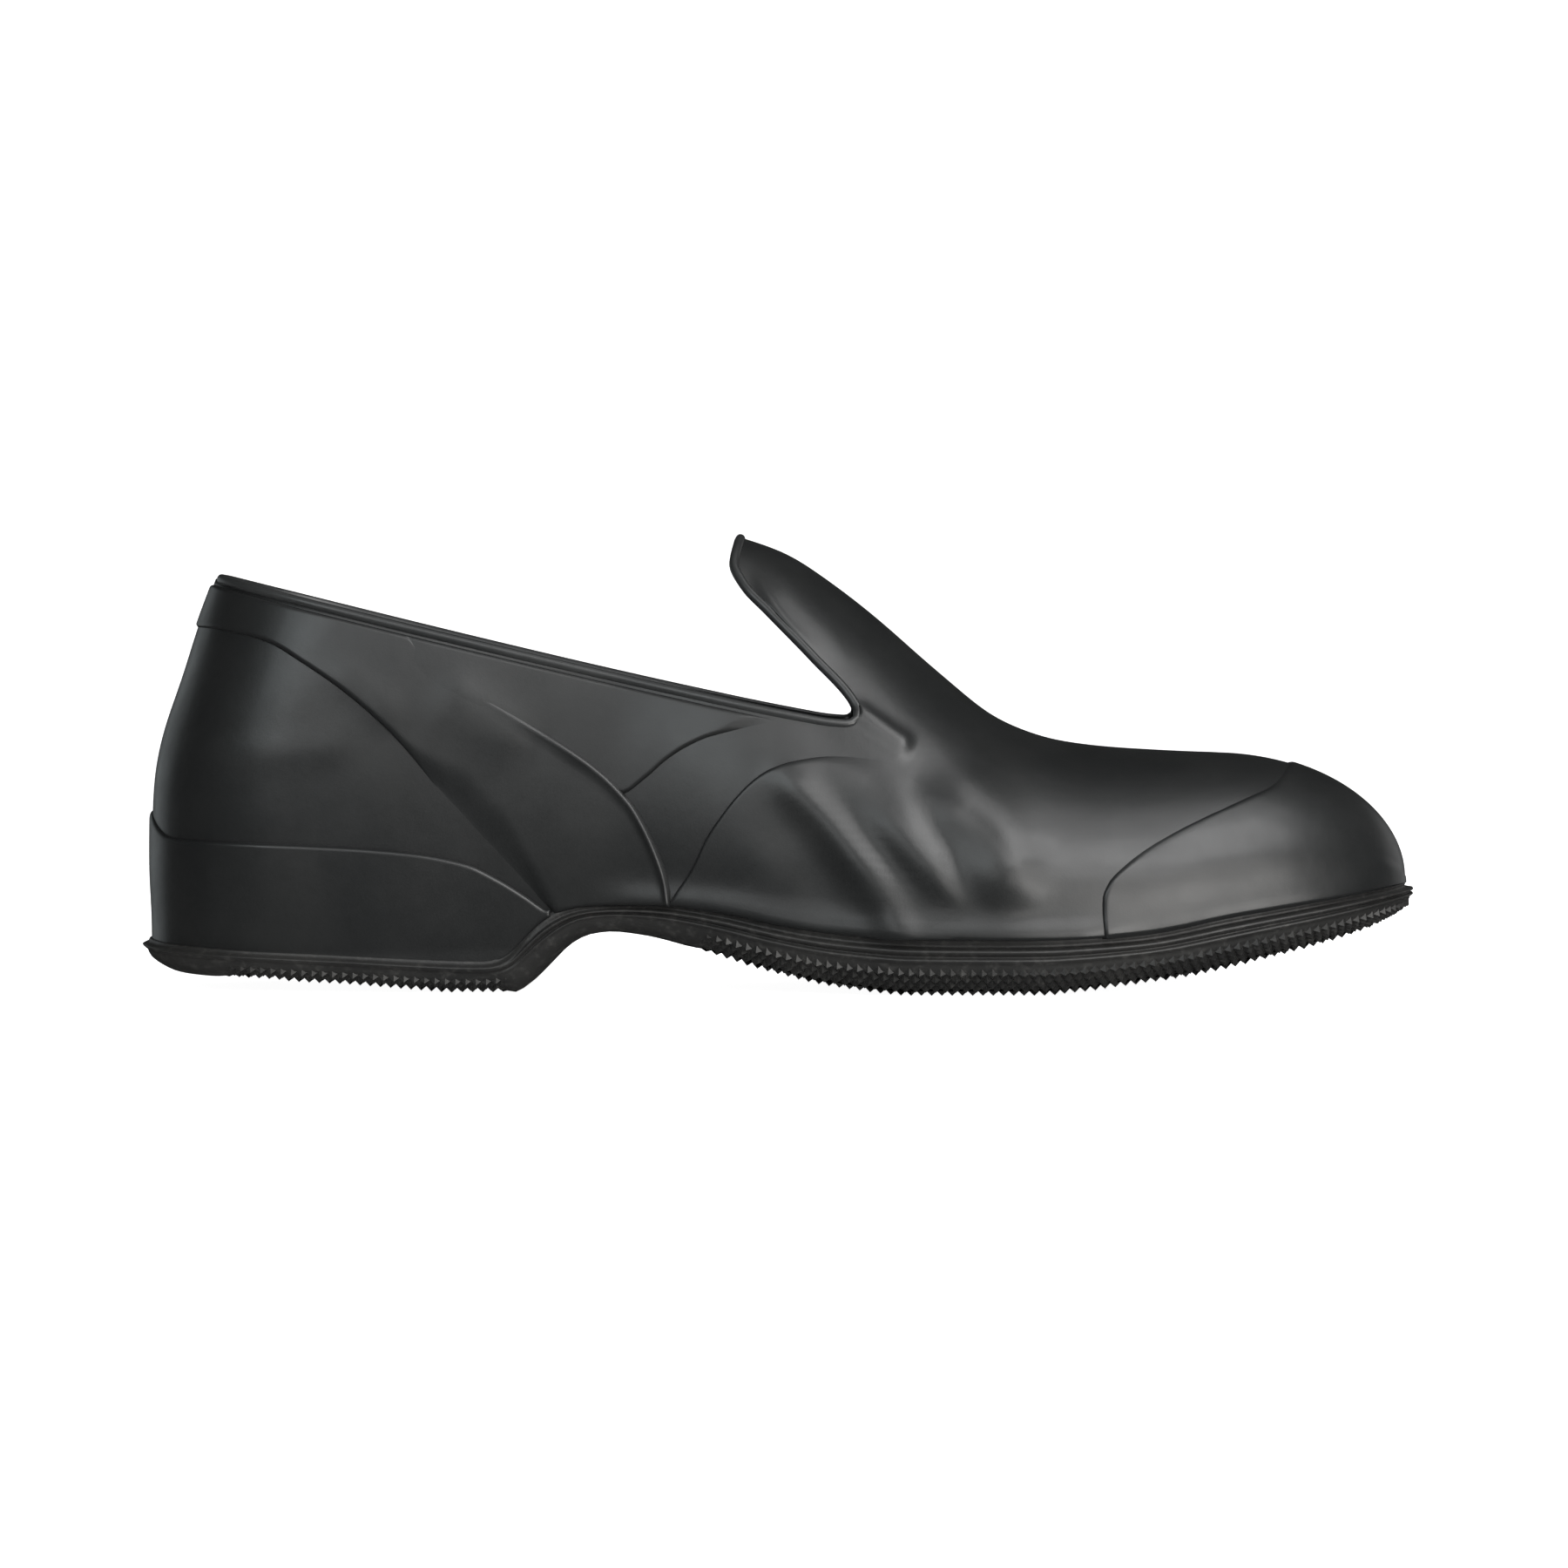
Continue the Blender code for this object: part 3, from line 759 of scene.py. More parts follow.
@dataclass
class Band(Piece):
    """A layer of rubber moulded onto the wall between two lines, its edges rounded.

    The layer's height off the wall and the widths of its edges are tables read along the foot, so that a
    step can grow out of the wall and sink back into it.
    """

    name: str
    low_line: Table
    high_line: Table
    start: float
    end: float
    proud: Table
    nodes: tuple[str, ...] = ()
    low_ramp: Table = ((0, 0.9), (310, 0.9))
    high_ramp: Table = ((0, 0.9), (310, 0.9))
    start_ramp: float = 0.9
    end_ramp: float = 0.9
    rib: float = 0.0
    rib_grows: tuple[float, float] = (0.0, 1.0)
    rib_inset: float = 1.0
    rib_width: float = 0.85
    settle: Table = ((0, 0), (310, 0))
    settle_width: Table = ((0, 1), (310, 1))
    collar_gap: float = 1.5
    sole_overlap: float = 0.6
    least_height: float = 0.6
    soft_widths: tuple[float, float] = (1.5, 5.0)
    round_sunk: float = 0.25
    soft_sunk: float = 0.03
    behind: float = 0.3
    heel_columns: int = 44
    step: float = 1.05
    middle_rows: int = 18
    edge_share: float = 0.45
    edge_steps: tuple[float, ...] = (0.0, 0.06, 0.16, 0.32, 0.55, 0.85, 1.2, 1.7, 2.4)

    def columns(self) -> np.ndarray:
        """The columns' distances from the heel's back, round the heel and close at the front end.

        Returns:
            The distances.
        """
        last = self.last
        ends = self.end - np.array(self.edge_steps[::-1])
        parts = []
        if self.start <= 0:
            turn = np.linspace(0, math.pi / 2, self.heel_columns)
            parts.append(last.heel_rounding * (1 - np.cos(turn)))
        begin = parts[0][-1] if parts else self.start
        count = max(int((ends[0] - begin) / self.step), 2)
        parts.append(np.linspace(begin, ends[0], count)[1 if parts else 0:-1])
        return np.concatenate([*parts, ends])

    def lines(self, reach: np.ndarray) -> tuple[np.ndarray, np.ndarray]:
        """The heights of the band's two edges.

        Args:
            reach: Distances from the heel's back.

        Returns:
            The lower edge's heights and the upper edge's.
        """
        last = self.last
        low = last.height_on(lambda along: eased(self.low_line, along), reach)
        low = np.maximum(low, last.height_on(last.feather, reach) - self.sole_overlap)
        high = last.height_on(lambda along: eased(self.high_line, along), reach)
        high = np.minimum(high, last.height_on(last.collar, reach) - self.collar_gap)
        return low, np.maximum(high, low + self.least_height)

    def rows(self, tall: np.ndarray) -> np.ndarray:
        """How far up each row lies, close together at both edges.

        Args:
            tall: How tall the band is in each column.

        Returns:
            The rows' heights above the lower edge, by column and row.
        """
        edge = np.array(self.edge_steps)
        squeeze = np.minimum(1, self.edge_share * tall / edge[-1])[:, None]
        low = edge * squeeze
        high = tall[:, None] - low[:, ::-1]
        inner = low[:, -1:] + (high[:, :1] - low[:, -1:]) * np.linspace(0, 1, self.middle_rows + 1)
        return np.concatenate([low[:, :-1], inner, high[:, 1:]], axis=1)

    def lift(self, reach: np.ndarray, up: np.ndarray, low: np.ndarray, high: np.ndarray) -> np.ndarray:
        """How proud of the wall each point stands.

        Args:
            reach: The columns' distances from the heel's back.
            up: How far up each row lies in each column.
            low: The lower edge's height in each column.
            high: The upper edge's height.

        Returns:
            The lift by column and row.
        """
        def lean(line: np.ndarray) -> np.ndarray:
            """How much shorter the way square to a line is than the way up to it."""
            return 1 / np.hypot(1, np.gradient(line, reach))[:, None]

        from_low = up * lean(low)
        from_high = ((high - low)[:, None] - up) * lean(high)
        from_end = (self.end - reach)[:, None] + np.zeros_like(up)
        proud = eased(self.proud, reach)[:, None]
        near_high = 1 - smooth_ramp(from_high / eased(self.settle_width, reach)[:, None], 0, 1)
        proud = proud - eased(self.settle, reach)[:, None] * near_high
        ribbed = self.rib * smooth_ramp(reach, *self.rib_grows)[:, None]
        proud = proud + ribbed * np.exp(-(((from_high - self.rib_inset) / self.rib_width) ** 2))
        lift = self.edged(proud, from_low, eased(self.low_ramp, reach)[:, None])
        lift = np.minimum(lift, self.edged(proud, from_high, eased(self.high_ramp, reach)[:, None]))
        lift = np.minimum(lift, self.edged(proud, from_end, self.end_ramp))
        if self.start > 0:
            lift = np.minimum(lift, self.edged(proud, (reach - self.start)[:, None], self.start_ramp))
        return lift

    def edged(self, proud: np.ndarray, inside: np.ndarray, width: np.ndarray | float) -> np.ndarray:
        """A layer's height near its edge, which is rounded when narrow and a soft ramp when wide.

        Args:
            proud: The layer's full height.
            inside: How far inside the edge each point lies.
            width: The edge's width.

        Returns:
            The height of each point, below zero at the edge itself.
        """
        t = np.clip(inside / width, 0, 1)
        soft = smooth_ramp(width, *self.soft_widths)
        rise = np.sqrt(1 - (1 - t) ** 2) * (1 - soft) + t * t * (3 - 2 * t) * soft
        sunk = self.round_sunk * (1 - soft) + self.soft_sunk * soft
        return (proud + sunk) * rise - sunk

    def build(self) -> bpy.types.Object:
        """Builds the band on the last: one sheet round the heel, or one on each side.

        Returns:
            The band's object.
        """
        reach = self.columns()
        low, high = self.lines(reach)
        up = self.rows(high - low)
        heights = low[:, None] + up
        alongs = reach[:, None] + self.last.heel_back(heights)
        lift = self.lift(reach, up, low, high)
        if self.start <= 0:
            round_heel = np.concatenate([lift[::-1], lift[1:]])
            made = [self.sheet(self.last.both_sides(alongs, heights), round_heel)]
        else:
            made = [self.sheet(self.last.points(alongs, heights, side), lift) for side in Side]
        bm = made[0]
        if len(made) > 1:
            other = bpy.data.meshes.new("other_side")
            made[1].to_mesh(other)
            made[1].free()
            bm.from_mesh(other)
            bpy.data.meshes.remove(other)
        piece = self.placed(self.name, bm, Slot.UPPER, *self.nodes)
        return self.thickened(piece, float(np.mean(self.proud, axis=0)[1]) + self.behind)

    def sheet(self, points: np.ndarray, lift: np.ndarray) -> bmesh.types.BMesh:
        """One sheet of the band, lifted off the wall.

        Args:
            points: Its points on the last by column and row.
            lift: How proud each one stands.

        Returns:
            The mesh.
        """
        bm, spots = self.grid(points)
        lifts = np.array([lift[spots[vertex]] for vertex in bm.verts])
        self.face_outwards(bm)
        self.creased(bm, lifts)
        return bm


@dataclass
class ToeCap(Piece):
    """The layer over the toe, its back edge sweeping from the sole up and forward to the ridge."""

    back_edge: Table = (
        (0, 232.0), (0.2, 232.2), (0.29, 233.8), (0.37, 237.2), (0.46, 242.4), (0.54, 249.0), (0.63, 258.0),
        (0.71, 266.0), (0.82, 274.5), (1.0, 280.5),
    )
    proud: Table = ((0, 0.75), (0.28, 0.7), (0.48, 0.38), (0.85, 0.38), (1, 0.6))
    thickness: float = 1.1
    edge_widths: Table = ((0, 1.0), (0.3, 1.2), (0.5, 2.4), (0.85, 2.6), (1, 1.6))
    sunk: float = 0.2
    sole_overlap: float = 0.3
    steepest: float = 0.96
    rows: int = 52
    columns: int = 62
    edge_steps: tuple[float, ...] = (0.0, 0.25, 0.5, 0.8, 1.15, 1.6, 2.1, 2.8)

    def build(self) -> bpy.types.Object:
        """Builds the cap over both sides as one sheet.

        Returns:
            The cap's object.
        """
        last = self.last
        up = np.sin(np.linspace(0, math.pi / 2, self.rows + 1))
        start = eased(self.back_edge, up)
        near = start + np.array(self.edge_steps)[:, None]
        ahead = np.sin(np.linspace(0, math.pi / 2, self.columns))[1:, None]
        along = np.concatenate([near, near[-1] + (last.length - near[-1]) * ahead])
        low = last.feather(along) - self.sole_overlap
        height = low + (last.crown(along) - low) * up
        outer, inner = (last.points(along, height, side) for side in Side)
        outer[:, -1, 1] = last.section("middle", along[:, -1])
        points = np.concatenate([outer, inner[:, -2::-1]], axis=1)
        points[-1] = (last.length, last.section("middle", last.length), last.toe_height)
        tangent = np.gradient(points[0], axis=0)
        forward = tangent[:, 0] ** 2 / (tangent**2).sum(axis=1)
        square = np.sqrt(1 - np.clip(forward, 0, self.steepest))
        inside = along - start
        inside = np.concatenate([inside, inside[:, -2::-1]], axis=1) * square
        width, proud = (eased(table, up) for table in (self.edge_widths, self.proud))
        width, proud = (np.concatenate([row, row[-2::-1]]) for row in (width, proud))
        rise = 1 - (1 - np.clip(inside / width, 0, 1)) ** 2
        lift = (proud + self.sunk) * rise - self.sunk
        bm, spots = self.grid(points)
        bmesh.ops.remove_doubles(bm, verts=bm.verts, dist=MERGE_DISTANCE)
        self.face_outwards(bm)
        self.creased(bm, np.array([lift[spots[vertex]] for vertex in bm.verts]))
        return self.thickened(self.placed("toe_shield", bm, Slot.UPPER, "toe_cap"), self.thickness)


@dataclass
class CollarBead(Piece):
    """The round bead that edges the opening."""

    radius: float = 1.2
    depth: float = 0.4
    below_ridge: float = 0.01
    probe: float = 0.2
    around: int = 16
    along: int = 230

    def line(self) -> np.ndarray:
        """The bead's centre line as a closed loop, from the heel round the outer side first.

        Returns:
            The points of the loop.
        """
        last = self.last
        path = last.opening_edge(self.radius)
        share = np.linspace(0, len(path) - 1, self.along)
        along, height = (np.interp(share, np.arange(len(path)), path[:, k]) for k in (0, 1))
        height = np.minimum(height, last.crown(along) - self.below_ridge)
        sides = []
        for side in Side:
            run = last.points(along, height, side)
            run = run - self.depth * self.outward(along, height, side)
            run[-1] = along[-1], last.section("middle", along[-1]), last.crown(along[-1]) - self.depth
            run[0, 1] = 0
            sides.append(run)
        return np.concatenate([sides[0], sides[1][-2:0:-1]])

    def outward(self, along: np.ndarray, height: np.ndarray, side: Side) -> np.ndarray:
        """The surface's outward directions.

        Args:
            along: Places along the foot.
            height: Heights above the floor.
            side: Which side of the foot.

        Returns:
            A direction of length 1 for each place.
        """
        read, step = self.last.across, self.probe
        over_along = (read(along + step, height, side) - read(along - step, height, side)) / (2 * step)
        over_height = (read(along, height + step, side) - read(along, height - step, side)) / (2 * step)
        normal = side.value * np.stack([-over_along, np.ones_like(along), -over_height], axis=-1)
        return normal / np.linalg.norm(normal, axis=-1)[..., None]

    def build(self) -> bpy.types.Object:
        """Builds the bead as a tube round its line.

        Returns:
            The bead's object.
        """
        line = self.line()
        way = np.roll(line, -1, axis=0) - np.roll(line, 1, axis=0)
        way /= np.linalg.norm(way, axis=1)[:, None]
        first = np.cross(way, (0.0, 0.0, 1.0))
        first /= np.linalg.norm(first, axis=1)[:, None]
        second = np.cross(first, way)
        turn = np.linspace(0, 2 * math.pi, self.around + 1)
        ring = first[:, None] * np.cos(turn)[:, None] + second[:, None] * np.sin(turn)[:, None]
        points = line[:, None] + self.radius * ring
        points = np.concatenate([points, points[:1]])
        bm, _ = self.grid(points)
        bmesh.ops.remove_doubles(bm, verts=bm.verts, dist=MERGE_DISTANCE)
        bmesh.ops.recalc_face_normals(bm, faces=bm.faces)
        return self.placed("edge_bead", bm, Slot.UPPER, "collar_bead")


@dataclass
class Sole(Piece):
    """The moulded sole: heel, waist and forefoot with ribs round the side and a tray inside."""

    tooth_height: float = 1.15
    toothed: Table = ((0, 0), (18, 0), (30, 1), (86, 1), (92, 0), (132, 0), (144, 1), (313, 1))
    rim: float = 3.2
    floor_thickness: float = 4.2
    heel_end: float = 86.0
    waist_start: float = 104.0
    around: int = 330
    heel_points: int = 90
    side_points: int = 260
    toe_points: int = 120
    toe_run: float = 58.0
    tip_gap: float = 0.03
    side_shares: tuple[float, float] = (0.2, 0.5)
    floor_below_edge: float = 1.3
    rim_below_edge: float = 0.3
    inward: tuple[float, ...] = (0.7, 0.35, 0.0)
    # Each row: the share of the side's height, then how far out it stands at the heel and at the forefoot.
    profile: Table = (
        (0.00, -9.0, -10.0),
        (0.00, -6.5, -7.5),
        (0.02, -4.6, -5.2),
        (0.05, -3.6, -3.6),
        (0.10, -2.5, -2.2),
        (0.17, -1.4, -1.0),
        (0.25, -0.4, 0.0),
        (0.33, 0.4, 0.75),
        (0.41, 1.0, 1.25),
        (0.49, 1.35, 1.5),
        (0.53, 1.5, 1.6),
        (0.55, 1.55, 1.75),
        (0.57, 1.6, 2.05),
        (0.59, 1.65, 2.3),
        (0.607, 1.7, 2.4),
        (0.625, 1.75, 2.3),
        (0.643, 1.8, 1.9),
        (0.66, 1.85, 1.45),
        (0.678, 1.9, 1.35),
        (0.695, 1.95, 1.55),
        (0.71, 2.25, 1.95),
        (0.73, 2.4, 2.3),
        (0.753, 2.6, 2.45),
        (0.775, 2.75, 2.35),
        (0.793, 2.85, 1.85),
        (0.808, 2.95, 1.1),
        (0.825, 3.05, 0.5),
        (0.85, 3.05, 0.2),
        (0.885, 2.65, 0.3),
        (0.925, 2.1, 0.45),
        (0.96, 1.7, 0.4),
        (1.00, 1.48, 0.1),
        (1.04, 1.38, -0.3),
        (1.07, 1.3, -0.35),
        (1.09, 1.0, -0.4),
        (1.10, 0.4, -0.4),
    )

    def toothing(self, along: np.ndarray) -> np.ndarray:
        """How much of the teeth's height there is at places along the foot."""
        return eased(self.toothed, along)

    def raised(self, along: np.ndarray) -> np.ndarray:
        """How far the sole's own skin lies above the tips of its teeth."""
        return (self.tooth_height + self.tip_gap) * self.toothing(along)

    def ring(self, count: int) -> tuple[np.ndarray, np.ndarray]:
        """The upper's outline at the feather line, evenly walked.

        Args:
            count: How many points it has.

        Returns:
            The points of the closed ring, and their outward directions in plan.
        """
        last = self.last
        end = last.length - float(last.heel_back(last.toe_height))
        heel = last.heel_rounding * (1 - np.cos(np.linspace(0, math.pi / 2, self.heel_points)))
        side = np.linspace(last.heel_rounding, end - self.toe_run, self.side_points)[1:]
        toe = side[-1] + (end - side[-1]) * np.sin(np.linspace(0, math.pi / 2, self.toe_points))[1:]
        reach = np.concatenate([heel, side, toe])
        height = last.height_on(last.feather, reach)
        along = reach + last.heel_back(height)
        along[-1], height[-1] = last.length, last.toe_height
        loop = last.both_sides(along, height)
        loop[0, 1] = loop[-1, 1] = last.section("middle", last.length)
        walked = np.concatenate([[0], np.cumsum(np.linalg.norm(np.diff(loop, axis=0), axis=1))])
        even = np.linspace(0, walked[-1], count + 1)
        loop = np.stack([np.interp(even, walked, loop[:, k]) for k in range(3)], axis=1)[:-1]
        turn = np.roll(loop, -1, axis=0)[:, :2] - np.roll(loop, 1, axis=0)[:, :2]
        out = np.stack([-turn[:, 1], turn[:, 0]], axis=1)
        if out[0, 0] < 0:
            out = -out
        return loop, out / np.linalg.norm(out, axis=1)[:, None]

    def band(self, loop: np.ndarray, out: np.ndarray, shares: np.ndarray) -> np.ndarray:
        """Points of the sole's side and lower edge.

        Args:
            loop: The points of the outline.
            out: Their outward directions in plan.
            shares: Places in the profile's rows, from 0 to its last row.

        Returns:
            The points by place on the outline and by share.
        """
        breast = self.waist_start - self.heel_end
        fore = np.clip((loop[:, 0] - self.heel_end) / breast, 0, 1)[:, None]
        table = np.array(self.profile)
        rows = np.arange(len(table))
        share, heel, forefoot = (np.interp(shares, rows, table[:, k]) for k in range(3))
        distance = heel * (1 - fore) + forefoot * fore
        plan = loop[:, None, :2] + out[:, None] * distance[..., None]
        raised = self.raised(plan[..., 0]) * (1 - smooth_ramp(share, *self.side_shares))
        bottom = self.last.tread(plan[..., 0]) + raised
        height = bottom + (loop[:, 2:3] - bottom) * share
        return np.concatenate([plan, height[..., None]], axis=-1)

    def floor(self, along: np.ndarray) -> np.ndarray:
        """The height of the floor inside the shoe."""
        below_edge = self.last.feather(along) - self.floor_below_edge
        return np.minimum(self.last.tread(along) + self.floor_thickness, below_edge)

    def build(self) -> bpy.types.Object:
        """Builds the sole as one closed tray, in rows from the keel round the side and back inside.

        Returns:
            The sole's object.
        """
        loop, out = self.ring(self.around)
        count = len(loop)
        mirror = (-np.arange(count)) % count
        body = self.band(loop, out, np.arange(len(self.profile)))
        keels = []
        for share in reversed(self.inward):
            plan = (body[:, 0, :2] * (1 + share) + body[mirror, 0, :2] * (1 - share)) / 2
            keels.append(np.column_stack([plan, self.last.tread(plan[:, 0]) + self.raised(plan[:, 0])]))
        inner = []
        inside = loop[:, :2] - out * self.rim
        top = loop[:, 2] - self.rim_below_edge
        for drop in (0.0, 0.5, 1.0):
            height = top + (self.floor(inside[:, 0]) - top) * drop
            inner.append(np.column_stack([inside, height]))
        for share in self.inward:
            plan = (inside * (1 + share) + inside[mirror] * (1 - share)) / 2
            inner.append(np.column_stack([plan, self.floor(plan[:, 0])]))
        points = np.concatenate([np.stack(keels, axis=1), body, np.stack(inner, axis=1)], axis=1)
        points = np.concatenate([points, points[:1]])
        bm, _ = self.grid(points)
        bmesh.ops.remove_doubles(bm, verts=bm.verts, dist=MERGE_DISTANCE)
        bmesh.ops.dissolve_degenerate(bm, dist=MERGE_DISTANCE, edges=bm.edges)
        bmesh.ops.recalc_face_normals(bm, faces=bm.faces)
        return self.placed("moulded_sole", bm, Slot.SOLE, "outsole")


@dataclass
class Tread(Piece):
    """The fine pyramids under heel and forefoot, which wrap up round the sole's lower edge."""

    sole: Sole
    pitch: float = 2.45
    rim_rows: int = 6
    rim_from: float = 2.0
    rim_top: Table = ((0, 0.57), (86, 0.57), (104, 0.52), (313, 0.52))
    field_inset: float = 4.4
    valley_rise: float = 0.03
    sunk: float = 0.3
    outline_points: int = 400
    walk_steps: int = 200
    least_toothing: float = 0.02

    def offsets(self, along: np.ndarray, tip: np.ndarray) -> np.ndarray:
        """How far points of the sheet stand off the sole: sunk where there are no teeth.

        Args:
            along: Their places along the foot.
            tip: 1 at a pyramid's tip and 0 in a valley.

        Returns:
            The distance of each point.
        """
        there = self.sole.toothing(along)
        valley = (self.sunk + self.valley_rise) * there - self.sunk
        return valley + self.sole.tooth_height * there * tip

    def rim(self) -> bmesh.types.BMesh:
        """The staggered rows that follow the sole's outline round its lower edge.

        Returns:
            The mesh.
        """
        sole = self.sole
        loop, out = sole.ring(self.outline_points)
        around = np.linalg.norm(np.diff(np.concatenate([loop, loop[:1]]), axis=0), axis=1).sum()
        count = 2 * round(around / self.pitch)
        loop, out = sole.ring(count)
        rows = np.linspace(self.rim_from, len(sole.profile) - 1, self.walk_steps)
        band = sole.band(loop, out, rows)
        shares = np.interp(rows, np.arange(len(sole.profile)), [row[0] for row in sole.profile])
        steps = np.linalg.norm(np.diff(band, axis=1), axis=2)
        walked = np.concatenate([np.zeros((count, 1)), np.cumsum(steps, axis=1)], axis=1)
        points = np.empty((count, self.rim_rows, 3))
        for k, top in enumerate(eased(self.rim_top, loop[:, 0])):
            even = np.linspace(0, np.interp(top, shares, walked[k]), self.rim_rows)
            for axis in range(3):
                points[k, :, axis] = np.interp(even, walked[k], band[k, :, axis])
        points = np.concatenate([points, points[:1]])
        bm, spots = self.grid(points)
        tips = np.array([(sum(spots[vertex]) + 1) % 2 for vertex in bm.verts], float)
        edge = np.array([spots[vertex][1] in (0, self.rim_rows - 1) for vertex in bm.verts])
        self.split(bm, {vertex for vertex, tip in zip(bm.verts, tips) if not tip})
        places, normals = self.places(bm), self.normals(bm)
        upside_down = normals[:, 2].sum() > 0
        normals = -normals if upside_down else normals
        lift = self.offsets(places[:, 0], tips)
        lift[edge] = -self.sunk
        self.move(bm, places + lift[:, None] * normals)
        if upside_down:
            bmesh.ops.reverse_faces(bm, faces=bm.faces)
        return bm

    @staticmethod
    def split(bm: bmesh.types.BMesh, valleys: set) -> None:
        """Cuts each square between its two valleys, so that every tip is a pyramid of its own.

        Args:
            bm: The sheet, which is cut in place.
            valleys: The vertices that are no tips.
        """
        pairs = []
        for face in bm.faces:
            low = [vertex for vertex in face.verts if vertex in valleys]
            if len(low) == 2:
                pairs.append((face, low))
        for face, low in pairs:
            bmesh.utils.face_split(face, *low)

    def field(self) -> bmesh.types.BMesh:
        """The straight rows under the flat of the sole.

        Returns:
            The mesh.
        """
        sole, half = self.sole, self.pitch / 2
        loop, out = sole.ring(self.outline_points)
        edge = loop[:, :2] - out * self.field_inset
        low, high = edge.min(axis=0), edge.max(axis=0)
        columns = 2 * int((high[0] - low[0]) / self.pitch)
        rows = 2 * int((high[1] - low[1]) / self.pitch)
        along = low[0] + half * np.arange(columns + 1)
        across = low[1] + half * np.arange(rows + 1)
        places = np.stack(np.meshgrid(along, across, indexing="ij"), axis=-1)
        height = self.last.tread(places[..., 0]) + sole.raised(places[..., 0])
        bm, spots = self.grid(np.concatenate([places, height[..., None]], axis=-1))
        tips = {vertex: spot[0] % 2 * (spot[1] % 2) for vertex, spot in spots.items()}
        for vertex, tip in tips.items():
            vertex.co.z -= float(self.offsets(np.array(vertex.co.x), np.array(float(tip))))
        self.trim(bm, edge)
        bmesh.ops.triangulate(bm, faces=list(bm.faces), quad_method="SHORT_EDGE")
        bm.normal_update()
        if sum(face.normal.z for face in bm.faces) > 0:
            bmesh.ops.reverse_faces(bm, faces=bm.faces)
        return bm

    def trim(self, bm: bmesh.types.BMesh, edge: np.ndarray) -> None:
        """Takes away what lies outside an outline or under the smooth waist.

        Args:
            bm: The sheet, which is trimmed in place.
            edge: The outline's points in plan, one side of the foot after the other.
        """
        half = len(edge) // 2
        runs = sorted((edge[:half], edge[half:]), key=lambda run: run[:, 1].mean())
        limits = [run[np.argsort(run[:, 0])] for run in runs]
        gone = []
        for face in bm.faces:
            centre = face.calc_center_median()
            low, high = (np.interp(centre.x, run[:, 0], run[:, 1]) for run in limits)
            bare = float(self.sole.toothing(centre.x)) < self.least_toothing
            if bare or not low < centre.y < high:
                gone.append(face)
        bmesh.ops.delete(bm, geom=gone, context="FACES")

    def build(self) -> bpy.types.Object:
        """Builds both sheets of pyramids as one piece.

        Returns:
            The tread's object.
        """
        bm = self.rim()
        field = self.field()
        mesh = bpy.data.meshes.new("tread_field")
        field.to_mesh(mesh)
        field.free()
        bm.from_mesh(mesh)
        bpy.data.meshes.remove(mesh)
        piece = self.placed("tread_pyramids", bm, Slot.SOLE)
        piece.data.shade_flat()
        return piece


@dataclass(frozen=True)
class Lamp:
    """One soft box of the studio, with its place and size in metres."""

    name: str
    place: tuple[float, float, float]
    size: tuple[float, float]
    power: float
    colour: Colour = (1.0, 1.0, 1.0)
    aim: tuple[float, float, float] = (0.0, 0.0, 0.05)

    def build(self) -> bpy.types.Object:
        """Builds the soft box and turns it to what it lights.

        Returns:
            The lamp's object.
        """
        data = bpy.data.lights.new(self.name, "AREA")
        data.shape = "RECTANGLE"
        data.size, data.size_y = self.size
        data.energy = self.power
        data.color = self.colour
        lamp = bpy.data.objects.new(self.name, data)
        lamp.location = self.place
        towards = Vector(self.aim) - Vector(self.place)
        lamp.rotation_euler = towards.to_track_quat("-Z", "Y").to_euler()
        bpy.context.scene.collection.objects.link(lamp)
        return lamp


WARM = (1.0, 0.985, 0.96)
COOL = (0.9, 0.98, 1.0)


